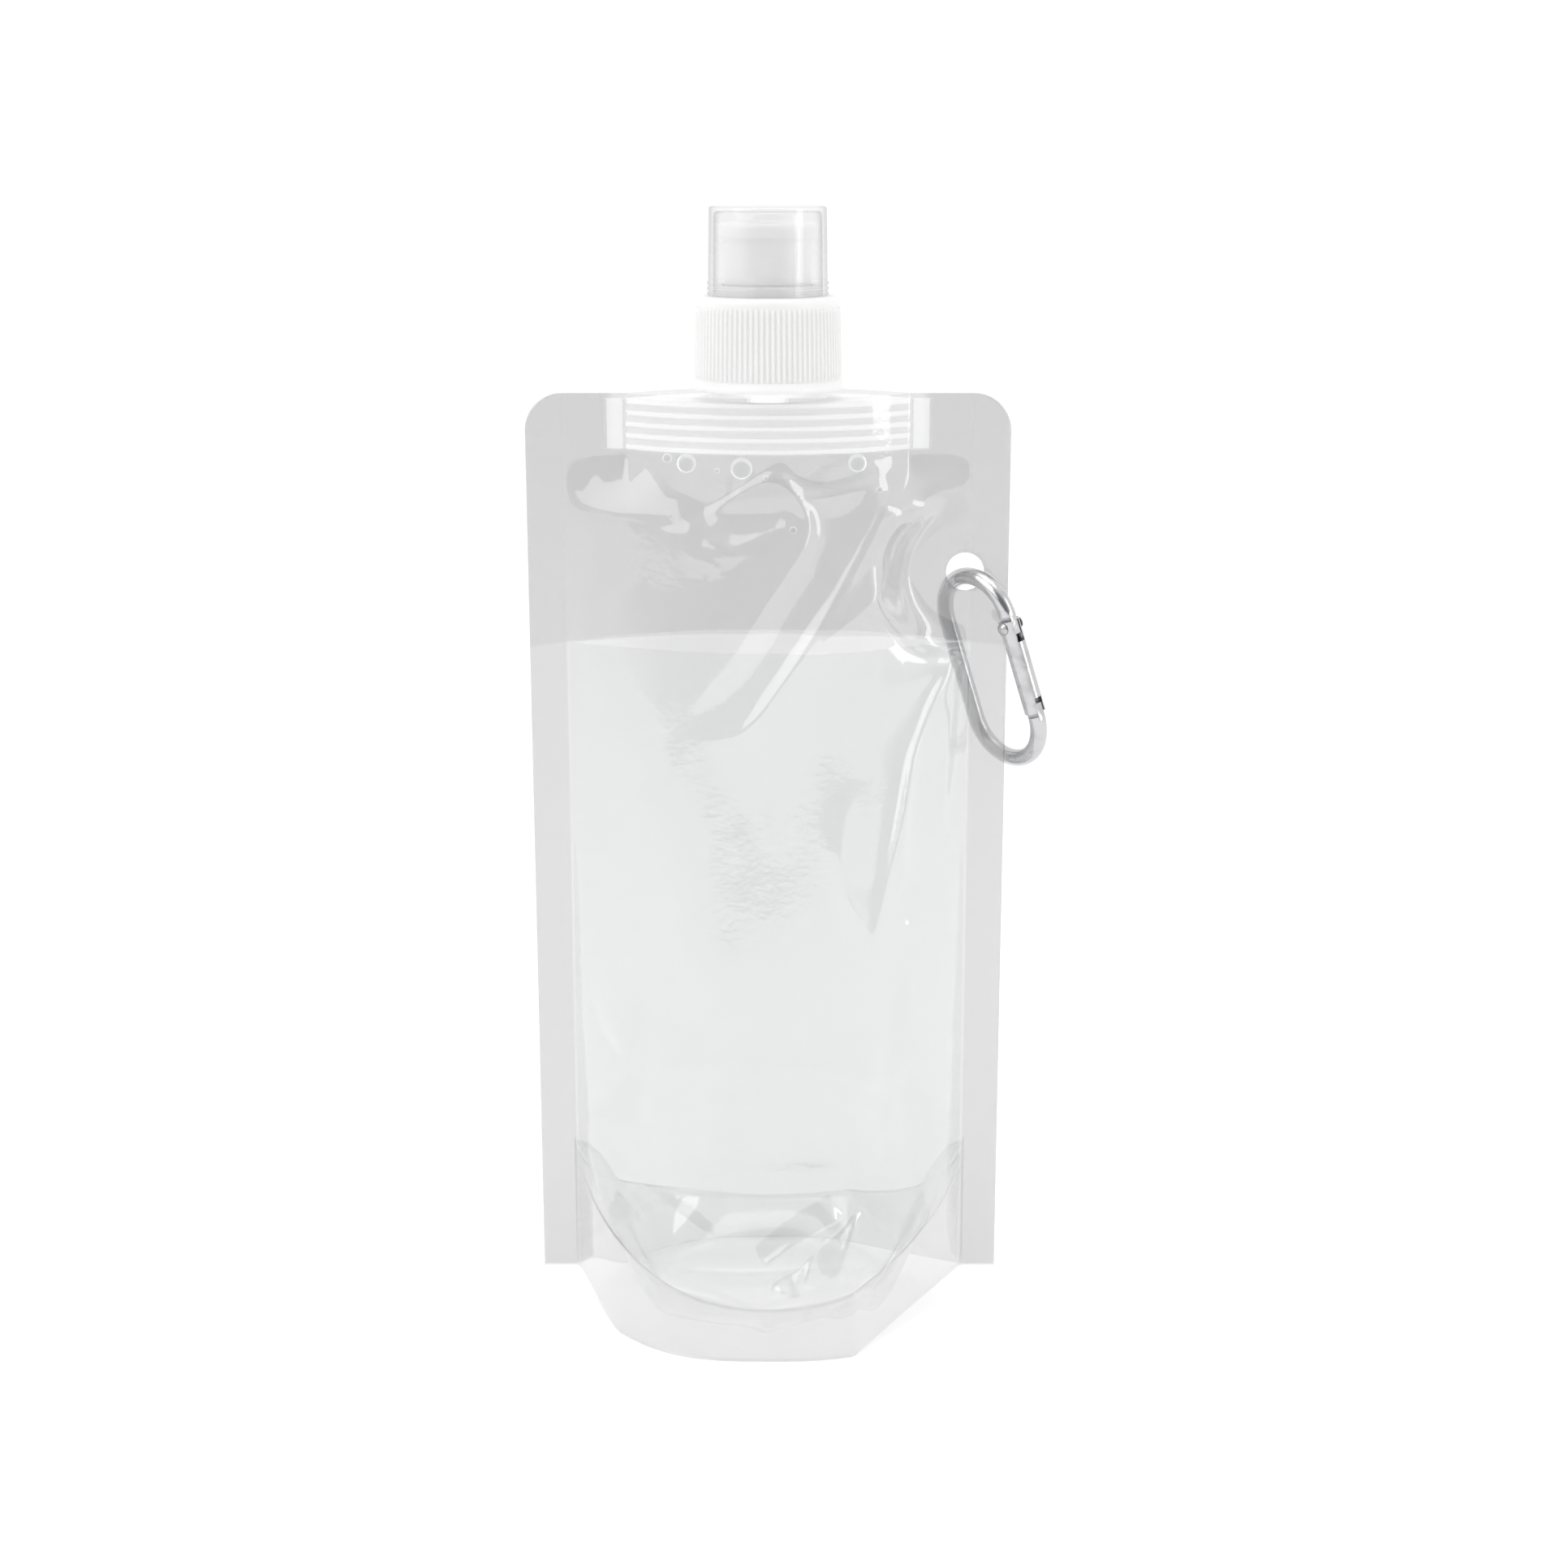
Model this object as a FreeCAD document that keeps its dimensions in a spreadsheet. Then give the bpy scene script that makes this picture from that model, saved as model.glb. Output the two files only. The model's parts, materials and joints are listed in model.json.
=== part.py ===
import FreeCAD, Part
import math
import os
import re
import Sketcher

# Folding water bottle: a clear stand-up pouch with a welded spout, a screw collar with a push-pull
# mouthpiece and dust cap, and a carabiner through the hang hole. Millimetres, +Z up. The origin is on
# the floor under the middle of the pouch, -Y is the front, and the hang hole is on the +X side.

Vector = FreeCAD.Vector
doc = FreeCAD.newDocument("folding_water_bottle")
sheet = doc.addObject("Spreadsheet::Sheet", "Sizes")

sizes = {
    # pouch
    "pouch_width": 113.0,        # edge to edge when full
    "pouch_top": 226.6,          # upper film edge above the floor
    "film_thickness": 0.3,
    "side_seal": 8.5,            # width of the welded side seams
    "top_seal": 14.0,            # height of the welded top seam
    "corner_radius": 8.7,        # upper corners
    "foot_depth": 36.0,          # half depth of the foot, at the floor
    "shoulder_depth": 9.4,       # half depth just under the top seam
    "ear_rise": 8.8,             # the outer bottom corners stand clear of the floor
    "ear_inset": 20.5,           # where the bottom edge starts to rise, from the side edge
    "gusset_rise": 12.75,        # top of the bottom weld at the middle
    "gusset_side": 43.0,         # top of the bottom weld at the side seams
    "pan_flat": 25.0,            # half length of the flat middle of the base
    "pan_bank": 0.35,            # share of the half depth where the base starts to rise
    # hang hole
    "hole_width": 9.0,
    "hole_inset": 10.2,          # hole centre from the side edge
    "hole_height": 184.9,
    "hole_weld": 11.36,          # radius of the weld round the hole
    "hole_fade": 22.72,          # radius where the films are at full depth again
    # spout
    "boat_length": 67.0,
    "boat_depth": 26.0,
    "boat_height": 11.8,
    "boat_drop": 1.1,            # boat top below the film edge
    "rib_count": 5,
    "rib_height": 1.3,
    "rib_relief": 0.6,           # depth of the grooves between the weld ribs
    "tab_length": 4.6,
    "tab_thickness": 0.8,
    "shoulder_radius": "=neck_radius + 1.4",
    "shoulder_height": 2.0,
    "neck_radius": 12.3,
    "neck_bore": 10.6,
    "neck_height": 19.4,
    # screw thread shared by neck and collar
    "thread_pitch": 3.2,
    "thread_turns": 1.5,
    "thread_reach": 1.2,         # how far a thread stands off its wall
    "thread_base": 1.4,
    "thread_crest": 0.7,
    "thread_start": 5.2,         # middle of the neck thread's start above the film edge
    "thread_clear": 0.35,        # crest to the opposite wall
    "small_chamfer": 0.3,        # broken edges of the turned pieces
    "neck_chamfer": 0.4,         # broken outer edge of the neck's mouth
    # gasket
    "gasket_thickness": 0.86,
    "gasket_gap": 0.02,
    # collar
    "collar_lift": 1.2,          # collar's lower edge above the film edge
    "collar_radius": "=neck_radius + 4",      # at the top
    "collar_spread": 0.4,        # extra radius at the bottom
    "flare_radius": "=neck_radius + 5.4",
    "flare_height": 0.9,
    "grip_start": 4.0,
    "grip_height": 15.7,
    "grip_count": 84,
    "grip_reach": 0.35,
    "grip_width": 0.62,
    "deck_thickness": 2.0,
    "boss_radius": 12.5,
    "boss_height": 2.4,
    # spigot in the collar, which carries the mouthpiece
    "spigot_radius": 8.0,
    "spigot_bore": 6.4,
    "spigot_height": 11.0,
    "bead_reach": 0.64,
    "post_radius": 2.9,
    "post_height": 15.9,
    "spoke_width": 1.4,
    "spoke_height": 2.0,
    "slide_clear": 0.06,
    # mouthpiece
    "barrel_radius": 9.95,
    "rim_radius": 11.55,
    "rim_height": 3.2,
    "mouth_wall": 2.4,
    "nozzle_height": 16.2,
    "nozzle_gap": 0.3,
    "lip_height": 1.0,
    # dust cap
    "cap_radius": 13.75,
    "cap_taper": 0.25,
    "cap_wall": 1.1,
    "cap_height": 19.9,
    "cap_gap": 0.15,
    "cap_round": 1.5,
    "ring_count": 3,
    "ring_pitch": 1.2,
    "ring_reach": 0.25,
    # carabiner
    "hook_length": 50.0,
    "hook_width": 25.0,
    "rod_radius": 2.0,
    "hook_turn": 50.0,           # its plane from the pouch's plane, degrees
    "hook_lean": 17.0,           # its lower end leans out past the pouch edge, degrees
    "hook_rise": -1.1,           # rod centre from the hole centre
    "gate_radius": 2.5,
    "gate_gap": 1.1,             # gate ends to the rod ends
    "pivot_drop": 2.5,           # rivet below the rod end
    "slot_width": 2.2,
    "tongue_thickness": 1.9,
    "tongue_half": 1.9,
    "upper_slot": 5.2,
    "lower_slot": 3.6,
    "nose_length": 3.2,
    "rivet_radius": 0.8,
    "rivet_head": 1.5,
    "rivet_dome": 0.85,
    "pivot_clear": 0.06,
    "gate_bore": 1.1,
    "bore_depth": 10.0,
    "plunger_radius": 1.0,
    "plunger_head": 2.4,
    "plunger_stem": 0.45,
    "plunger_length": 5.4,
    "spring_wire": 0.22,
    "spring_radius": 0.76,
    "spring_pitch": 0.9,
}
for row, name in enumerate(sizes, start=1):
    sheet.set(f"A{row}", name)
    sheet.setAlias(f"B{row}", name)
for row, cell in enumerate(sizes.values(), start=1):
    sheet.set(f"B{row}", str(cell))
doc.recompute()


def size(name):
    return float(sheet.get(name))


def bound(formula):
    """Put the sheet's name before each alias in a formula."""
    return re.sub(r"[A-Za-z_]+", lambda word: f"Sizes.{word.group(0)}", formula)


def number(formula):
    value = sheet.evalExpression(bound(formula))
    return float(getattr(value, "Value", value))


def bind(item, prop, formula):
    item.setExpression(prop, bound(formula))


def new_body(label, height="0"):
    """A body whose own zero height stands at the given formula."""
    body = doc.addObject("PartDesign::Body", label)
    body.Label = label
    if height != "0":
        bind(body, "Placement.Base.z", height)
    return body


def new_sketch(body, name, role, offset=None):
    sketch = body.newObject("Sketcher::SketchObject", name)
    plane = next(item for item in body.Origin.OriginFeatures if item.Role == role)
    sketch.AttachmentSupport = [(plane, "")]
    sketch.MapMode = "FlatFace"
    if offset:
        bind(sketch, "AttachmentOffset.Base.z", offset)
    return sketch


def pin_point(sketch, line, across, up):
    """Fix a line's start at the two formulas."""
    for kind, formula in (("DistanceX", across), ("DistanceY", up)):
        distance = number(formula)
        if formula == "0":
            axis = -2 if kind == "DistanceX" else -1
            sketch.addConstraint(Sketcher.Constraint("PointOnObject", line, 1, axis))
            continue
        index = sketch.addConstraint(Sketcher.Constraint(kind, -1, 1, line, 1, distance))
        sketch.setExpression(f"Constraints[{index}]", bound(formula))


def outline(body, name, role, corners, offset=None):
    """A closed sketch of straight lines; each corner is a pair of formulas."""
    sketch = new_sketch(body, name, role, offset)
    points = [Vector(number(across), number(up), 0) for across, up in corners]
    ends = points[1:] + points[:1]
    lines = [sketch.addGeometry(Part.LineSegment(a, b), False) for a, b in zip(points, ends)]
    for line, follower in zip(lines, lines[1:] + lines[:1]):
        sketch.addConstraint(Sketcher.Constraint("Coincident", line, 2, follower, 1))
    for line, (across, up) in zip(lines, corners):
        pin_point(sketch, line, across, up)
    return sketch


def circle(body, name, role, across, up, radius, offset=None):
    sketch = new_sketch(body, name, role, offset)
    centre = Vector(number(across), number(up), 0)
    ring = sketch.addGeometry(Part.Circle(centre, Vector(0, 0, 1), number(radius)), False)
    index = sketch.addConstraint(Sketcher.Constraint("Radius", ring, number(radius)))
    sketch.setExpression(f"Constraints[{index}]", bound(radius))
    for kind, formula in (("DistanceX", across), ("DistanceY", up)):
        if formula == "0":
            axis = -2 if kind == "DistanceX" else -1
            sketch.addConstraint(Sketcher.Constraint("PointOnObject", ring, 3, axis))
        else:
            index = sketch.addConstraint(Sketcher.Constraint(kind, -1, 1, ring, 3, number(formula)))
            sketch.setExpression(f"Constraints[{index}]", bound(formula))
    return sketch


def turned(body, name, sketch):
    feature = body.newObject("PartDesign::Revolution", name)
    feature.Profile = sketch
    feature.ReferenceAxis = (sketch, ["V_Axis"])
    feature.Angle = 360
    doc.recompute()
    return feature


def padded(body, name, sketch, length, both_ways=False):
    feature = body.newObject("PartDesign::Pad", name)
    feature.Profile = sketch
    bind(feature, "Length", length)
    feature.Midplane = both_ways
    doc.recompute()
    return feature


def cut_through(body, name, sketch):
    """A pocket right through the body, both ways."""
    before = body.Shape.Volume
    feature = body.newObject("PartDesign::Pocket", name)
    feature.Profile = sketch
    feature.Type = "ThroughAll"
    feature.Midplane = True
    doc.recompute()
    if body.Shape.Volume >= before:
        raise ValueError(f"{name} cuts nothing")
    return feature


def repeated(body, name, feature, count):
    pattern = body.newObject("PartDesign::PolarPattern", name)
    pattern.Originals = [feature]
    axis = next(item for item in body.Origin.OriginFeatures if item.Role == "Z_Axis")
    pattern.Axis = (axis, [""])
    pattern.Angle = 360
    bind(pattern, "Occurrences", count)
    body.Tip = pattern
    doc.recompute()
    return pattern


def screw_ridge(body, name, root, reach, middle):
    """A right-hand thread ridge, from a root radius out (or in, when reach is negative)."""
    foot = f"{root} - {reach} / 8"
    crest = f"{root} + {reach}"
    corners = [
        (foot, f"{middle} - thread_base / 2"),
        (crest, f"{middle} - thread_crest / 2"),
        (crest, f"{middle} + thread_crest / 2"),
        (foot, f"{middle} + thread_base / 2"),
    ]
    sketch = outline(body, f"{name}_profile", "XZ_Plane", corners)
    ridge = body.newObject("PartDesign::AdditiveHelix", name)
    ridge.Profile = sketch
    ridge.ReferenceAxis = (sketch, ["V_Axis"])
    ridge.Mode = "pitch-turns-angle"
    bind(ridge, "Pitch", "thread_pitch")
    bind(ridge, "Turns", "thread_turns")
    doc.recompute()
    return ridge


# --- the pouch's shape ---------------------------------------------------------------------------

def ease(low, high, value):
    """0 up to low, 1 from high, and an S-curve between."""
    share = min(1.0, max(0.0, (value - low) / (high - low)))
    return share * share * (3 - 2 * share)


def foot_height(x):
    """Lower edge of the film: flat on the floor, rising to the ears."""
    half = size("pouch_width") / 2
    return size("ear_rise") * ease(half - size("ear_inset"), half - size("side_seal"), abs(x))


def weld_height(x):
    """Upper edge of the bottom weld: an elliptic arc from the middle to the side seams."""
    share = min(1.0, abs(x) / (size("pouch_width") / 2 - size("side_seal")))
    rise = size("gusset_side") - size("gusset_rise")
    return size("gusset_rise") + rise * (1 - math.sqrt(1 - share * share))


def boat_outline(x):
    """Half depth of the spout's boat: two arcs that meet at its ends, then a flat end tab."""
    half_length = size("boat_length") / 2
    half_depth = size("boat_depth") / 2
    tab_end = half_length + size("tab_length")
    tab = size("tab_thickness") / 2 * (1 - ease(tab_end, tab_end + size("tab_length"), abs(x)))
    if abs(x) >= half_length:
        return tab
    radius = (half_length ** 2 + half_depth ** 2) / (2 * half_depth)
    return max(tab, math.sqrt(radius ** 2 - x * x) - (radius - half_depth))


def film_depth(x, z):
    """Outer face of the front film before the mid plane: a lens that narrows with height and is
    flat at the side seams, round the hang hole and at the top, where it wraps the boat."""
    film = size("film_thickness")
    seam_top = size("pouch_top") - size("top_seal")
    inner = size("pouch_width") / 2 - size("side_seal")
    height = min(1.0, max(0.0, z / seam_top))
    depth = size("foot_depth") + (size("shoulder_depth") - size("foot_depth")) * height
    power = 3.0 - height
    lens = max(0.0, 1 - (abs(x) / inner) ** power) * depth
    hole_x = size("pouch_width") / 2 - size("hole_inset")
    away = math.hypot(x - hole_x, z - size("hole_height"))
    lens *= ease(size("hole_weld"), size("hole_fade"), away)
    sealed = ease(seam_top - size("top_seal"), seam_top, z)
    shape = lens * (1 - sealed) + boat_outline(x) * sealed
    plies = 2 - ease(size("gusset_side") + 1, size("gusset_side") + 8, z)
    return shape + film * plies


def spread(count, half):
    """Even steps from -half to half."""
    return [half * (2 * index / (count - 1) - 1) for index in range(count)]


def skin_face(grid):
    """A cubic B-spline face over a grid of poles."""
    def knots(count):
        return list(range(count - 2)), [4] + [1] * (count - 4) + [4]
    across, across_mults = knots(len(grid))
    along, along_mults = knots(len(grid[0]))
    surface = Part.BSplineSurface()
    surface.buildFromPolesMultsKnots(grid, across_mults, along_mults, across, along, False, False, 3, 3)
    return surface.toShape()


def wall_faces(grid, inner):
    """Ruled faces between the edges of two faces."""
    def border(poles):
        corners = [poles[0], poles[-1], [row[0] for row in poles], [row[-1] for row in poles]]
        return [edge_curve(line) for line in corners]
    return [Part.makeRuledSurface(a, b) for a, b in zip(border(grid), border(inner))]


def edge_curve(poles):
    curve = Part.BSplineCurve()
    count = len(poles)
    curve.buildFromPolesMultsKnots(poles, [4] + [1] * (count - 4) + [4], list(range(count - 2)), False, 3)
    return curve.toShape()


def thick_sheet(point, across, along, thickness):
    """A thin solid: the face through point(a, b) and a second face one thickness further along the
    normal. The sheet's normal is d/da x d/db."""
    step = 0.01
    outer = []
    inner = []
    for a in across:
        outer.append([])
        inner.append([])
        for b in along:
            here = point(a, b)
            turn = (point(a + step, b) - point(a - step, b)).cross(point(a, b + step) - point(a, b - step))
            turn.normalize()
            outer[-1].append(here)
            inner[-1].append(here + turn * thickness)
    shell = Part.Shell([skin_face(outer), skin_face(inner)] + wall_faces(outer, inner))
    shell.sewShape()
    solid = Part.Solid(shell)
    if solid.Volume < 0:
        solid.reverse()
    return solid


def film_shape():
    """The front film: thin sheet from the foot to the top edge, with round upper corners and the
    hang hole."""
    half = size("pouch_width") / 2
    top = size("pouch_top")

    def point(x, share):
        low = foot_height(min(half, max(-half, x)))
        z = low + (top - low) * share
        return Vector(x, -film_depth(x, z), z)

    rows = [index / 40 for index in range(41)]
    solid = thick_sheet(point, spread(35, half), rows, -size("film_thickness"))
    reach = size("foot_depth") * 3
    corner = size("corner_radius")
    for side in (-1, 1):
        block = Part.makeBox(2 * corner, reach, 2 * corner, Vector(-corner, -reach / 2, -corner))
        block.translate(Vector(side * half, 0, top))
        centre = Vector(side * (half - corner), -reach / 2, top - corner)
        block = block.cut(Part.makeCylinder(corner, reach, centre, Vector(0, 1, 0)))
        keep_out = Part.makeBox(2 * corner, reach, 2 * corner,
                                Vector(centre.x - (corner if side < 0 else -corner) - corner,
                                       -reach / 2, centre.z - corner))
        solid = solid.cut(block.common(keep_out))
    hole_x = half - size("hole_inset")
    start = Vector(hole_x, -reach / 2, size("hole_height"))
    return solid.cut(Part.makeCylinder(size("hole_width") / 2, reach, start, Vector(0, 1, 0)))


def add_shape(label, shape):
    item = doc.addObject("Part::Feature", label)
    item.Label = label
    item.Shape = shape
    return item


def make_films():
    front = film_shape()
    add_shape("front_film", front)
    add_shape("rear_film", front.mirror(Vector(0, 0, 0), Vector(0, 1, 0)))


def make_gusset():
    """The base film: a pan that is flat on the floor in the middle, and a strip up the inside of the
    front and rear films that is welded to them."""
    half = size("pouch_width") / 2
    film = size("film_thickness")
    inner = half - size("side_seal")

    def fin_point(x, share):
        low = foot_height(min(half, max(-half, x)))
        z = low + (weld_height(x) - low) * share
        return Vector(x, -film_depth(x, z) + film, z)

    fin = thick_sheet(fin_point, spread(35, half), [index / 8 for index in range(9)], -film)

    def pan_point(x, share):
        rim = weld_height(x)
        floor = size("gusset_side") * ease(size("pan_flat"), inner + 1, abs(x))
        bank = max(0.0, (abs(share) - size("pan_bank")) / (1 - size("pan_bank"))) ** 2
        reach = max(film, film_depth(x, rim) - 2 * film)
        return Vector(x, share * reach, floor + max(0.0, rim - floor) * bank)

    pan = thick_sheet(pan_point, spread(31, inner - 2), spread(25, 1.0), film)
    pieces = [pan, fin, fin.mirror(Vector(0, 0, 0), Vector(0, 1, 0))]
    return add_shape("base_gusset_film", Part.makeCompound(pieces))


# --- spout, collar, mouthpiece and dust cap ------------------------------------------------------

boat_top = "-boat_drop"
boat_bottom = "-boat_drop - boat_height"
seat = "neck_height + gasket_gap"
deck_under = "neck_height + 2 * gasket_gap + gasket_thickness"
deck = f"{deck_under} + deck_thickness"
spigot_top = f"{deck} + spigot_height"
collar_inner = "neck_radius + thread_reach + thread_clear"


def lens_sketch(body, name, inset, base):
    """The boat's outline: two arcs that meet in a point at each end."""
    sketch = new_sketch(body, name, "XY_Plane", base)
    long_half = f"boat_length / 2 - {inset} * 2"
    deep_half = f"boat_depth / 2 - {inset}"
    end = Vector(number(long_half), 0, 0)
    arcs = []
    for side in (1, -1):
        crown = Vector(0, side * number(deep_half), 0)
        first, last = (end, -end) if side > 0 else (-end, end)
        arcs.append(sketch.addGeometry(Part.Arc(first, crown, last), False))
    sketch.addConstraint(Sketcher.Constraint("Coincident", arcs[0], 2, arcs[1], 1))
    sketch.addConstraint(Sketcher.Constraint("Coincident", arcs[1], 2, arcs[0], 1))
    sketch.addConstraint(Sketcher.Constraint("PointOnObject", arcs[0], 1, -1))
    sketch.addConstraint(Sketcher.Constraint("PointOnObject", arcs[0], 2, -1))
    sketch.addConstraint(Sketcher.Constraint("PointOnObject", arcs[0], 3, -2))
    index = sketch.addConstraint(Sketcher.Constraint("DistanceX", -1, 1, arcs[0], 1, end.x))
    sketch.setExpression(f"Constraints[{index}]", bound(long_half))
    radius = f"(({long_half}) ^ 2 + ({deep_half}) ^ 2) / (2 * ({deep_half}))"
    for arc in arcs:
        index = sketch.addConstraint(Sketcher.Constraint("Radius", arc, number(radius)))
        sketch.setExpression(f"Constraints[{index}]", bound(radius))
    return sketch


def make_spout():
    """Boat with weld ribs and end tabs, shoulder, threaded neck and a bore right through."""
    body = new_body("spout", "pouch_top")
    padded(body, "boat_core", lens_sketch(body, "core_outline", "rib_relief", boat_bottom), "boat_height")
    step = "(boat_height - rib_height) / (rib_count - 1)"
    for index in range(int(size("rib_count"))):
        base = f"{boat_bottom} + {index} * {step}"
        padded(body, f"weld_rib_{index}", lens_sketch(body, f"rib_outline_{index}", "0", base), "rib_height")
    tab = [("-boat_length / 2 - tab_length", "-tab_thickness / 2"),
           ("boat_length / 2 + tab_length", "-tab_thickness / 2"),
           ("boat_length / 2 + tab_length", "tab_thickness / 2"),
           ("-boat_length / 2 - tab_length", "tab_thickness / 2")]
    padded(body, "end_tabs", outline(body, "tab_outline", "XY_Plane", tab, boat_bottom), "boat_height")
    neck = [("neck_bore", boat_bottom), ("shoulder_radius - rib_relief * 3", boat_bottom),
            ("shoulder_radius - rib_relief * 3", boat_top), ("shoulder_radius", boat_top),
            ("shoulder_radius", "shoulder_height"), ("neck_radius", "shoulder_height"),
            ("neck_radius", "neck_height - neck_chamfer"), ("neck_radius - neck_chamfer", "neck_height"),
            ("neck_bore", "neck_height")]
    turned(body, "neck", outline(body, "neck_profile", "XZ_Plane", neck))
    screw_ridge(body, "neck_thread", "neck_radius", "thread_reach", "thread_start")
    cut_through(body, "bore", circle(body, "bore_outline", "XY_Plane", "0", "0", "neck_bore"))
    return body


def make_gasket():
    body = new_body("neck_gasket", "pouch_top")
    top = f"{seat} + gasket_thickness"
    ring = [("neck_bore", seat), (f"{collar_inner} - gasket_gap * 5", seat),
            (f"{collar_inner} - gasket_gap * 5", top), ("neck_bore", top)]
    turned(body, "ring", outline(body, "ring_profile", "XZ_Plane", ring))
    return body


def make_collar():
    """Ribbed screw collar with a flared lower edge, and the spigot and centre post on its deck."""
    body = new_body("screw_collar", "pouch_top")
    grip_top = "grip_start + grip_height"
    wall = [(collar_inner, "collar_lift"), ("flare_radius", "collar_lift"),
            ("flare_radius", "collar_lift + flare_height"),
            ("collar_radius + collar_spread", "grip_start"), ("collar_radius", grip_top),
            ("collar_radius", f"{deck} - 1"), ("collar_radius - 1", deck), ("boss_radius", deck),
            ("boss_radius", f"{deck} + boss_height - small_chamfer"),
            ("boss_radius - small_chamfer", f"{deck} + boss_height"),
            ("spigot_radius + 2.6", f"{deck} + boss_height"), ("spigot_radius + 2.6", deck),
            ("spigot_radius", deck), ("spigot_radius", f"{spigot_top} - bead_reach * 2"),
            ("spigot_radius + bead_reach", f"{spigot_top} - bead_reach"),
            ("spigot_radius", spigot_top), ("spigot_bore", spigot_top),
            ("spigot_bore", deck_under), (collar_inner, deck_under)]
    turned(body, "wall", outline(body, "wall_profile", "XZ_Plane", wall))
    spoke_low = f"{deck_under} + deck_thickness / 2"
    post = [("0", spoke_low), ("post_radius", spoke_low), ("post_radius", f"{deck} + post_height - 0.6"),
            ("post_radius - 0.6", f"{deck} + post_height"), ("0", f"{deck} + post_height")]
    arm = [("post_radius / 2", "-spoke_width / 2"), ("spigot_bore + 0.5", "-spoke_width / 2"),
           ("spigot_bore + 0.5", "spoke_width / 2"), ("post_radius / 2", "spoke_width / 2")]
    for index in range(3):
        sketch = outline(body, f"spoke_outline_{index}", "XY_Plane", arm, spoke_low)
        sketch.AttachmentOffset = FreeCAD.Placement(sketch.AttachmentOffset.Base,
                                                    FreeCAD.Rotation(Vector(0, 0, 1), 120 * index))
        bind(sketch, "AttachmentOffset.Base.z", spoke_low)
        padded(body, f"spoke_{index}", sketch, "spoke_height")
    turned(body, "post", outline(body, "post_profile", "XZ_Plane", post))
    screw_ridge(body, "collar_thread", collar_inner, "-thread_reach",
                "thread_start + thread_pitch / 2")
    rib = [("collar_radius - small_chamfer", "-grip_width / 2"),
           ("collar_radius + collar_spread / 2 + grip_reach", "-grip_width / 5"),
           ("collar_radius + collar_spread / 2 + grip_reach", "grip_width / 5"),
           ("collar_radius - small_chamfer", "grip_width / 2")]
    foot = outline(body, "rib_outline", "XY_Plane", rib, "grip_start")
    first = padded(body, "grip_rib", foot, "grip_height")
    repeated(body, "grip", first, "grip_count")
    return body


def make_nozzle():
    """Push-pull mouthpiece: it slides on the spigot, and the post closes its mouth when it is down."""
    body = new_body("push_pull_nozzle", "pouch_top")
    low = f"{deck} + nozzle_gap"
    top = f"{low} + nozzle_height"
    rim = f"{top} - rim_height"
    bore = "spigot_radius + bead_reach + slide_clear"
    roof = f"{top} - mouth_wall"
    wall = [("spigot_radius + slide_clear", low), ("barrel_radius", low), ("barrel_radius", f"{rim} - 1.2"),
            ("rim_radius", rim), ("rim_radius", f"{top} - 0.8"), ("rim_radius - 0.8", top),
            ("post_radius + slide_clear", top), ("post_radius + slide_clear", roof), (bore, roof),
            (bore, f"{low} + lip_height"), ("spigot_radius + slide_clear", f"{low} + lip_height")]
    turned(body, "wall", outline(body, "wall_profile", "XZ_Plane", wall))
    return body


def make_dust_cap():
    """Clear cap: a thin cup with three rings round its rim, pushed over the boss on the deck."""
    body = new_body("dust_cap", "pouch_top")
    low = f"{deck} + cap_gap"
    top = f"{low} + cap_height"
    outer = []
    for index in range(int(size("ring_count"))):
        base = f"{low} + {index} * ring_pitch"
        outer.append(("cap_radius + ring_reach", base))
        outer.append(("cap_radius + ring_reach", f"{base} + ring_pitch / 2"))
        outer.append(("cap_radius", f"{base} + ring_pitch * 0.7"))
        outer.append(("cap_radius", f"{base} + ring_pitch * 0.9"))
    crown = "cap_radius - cap_taper"
    inner = "boss_radius + cap_gap"
    wall = [(inner, low)] + outer + [(crown, f"{top} - cap_round"),
            (f"{crown} - cap_round * 0.3", f"{top} - cap_round * 0.3"), (f"{crown} - cap_round", top),
            ("0", top), ("0", f"{top} - cap_wall"), (f"{crown} - cap_wall - 0.6", f"{top} - cap_wall"),
            (f"{crown} - cap_wall", f"{top} - cap_wall - 0.6")]
    turned(body, "wall", outline(body, "wall_profile", "XZ_Plane", wall))
    return body


# --- carabiner -----------------------------------------------------------------------------------
# Drawn in its own plane, XZ, with the rod centre in the hang hole at zero, then turned and leaned.

bend = "(hook_width / 2 - rod_radius)"
lower_bend = "(hook_length - 2 * rod_radius - hook_width / 2 + rod_radius)"


def hook_placement():
    half = size("pouch_width") / 2
    base = Vector(half - size("hole_inset"), 0, size("hole_height") + size("hook_rise"))
    lean = FreeCAD.Rotation(Vector(0, 1, 0), -size("hook_lean"))
    turn = FreeCAD.Rotation(Vector(0, 0, 1), -size("hook_turn"))
    return FreeCAD.Placement(base, lean * turn)


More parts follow.
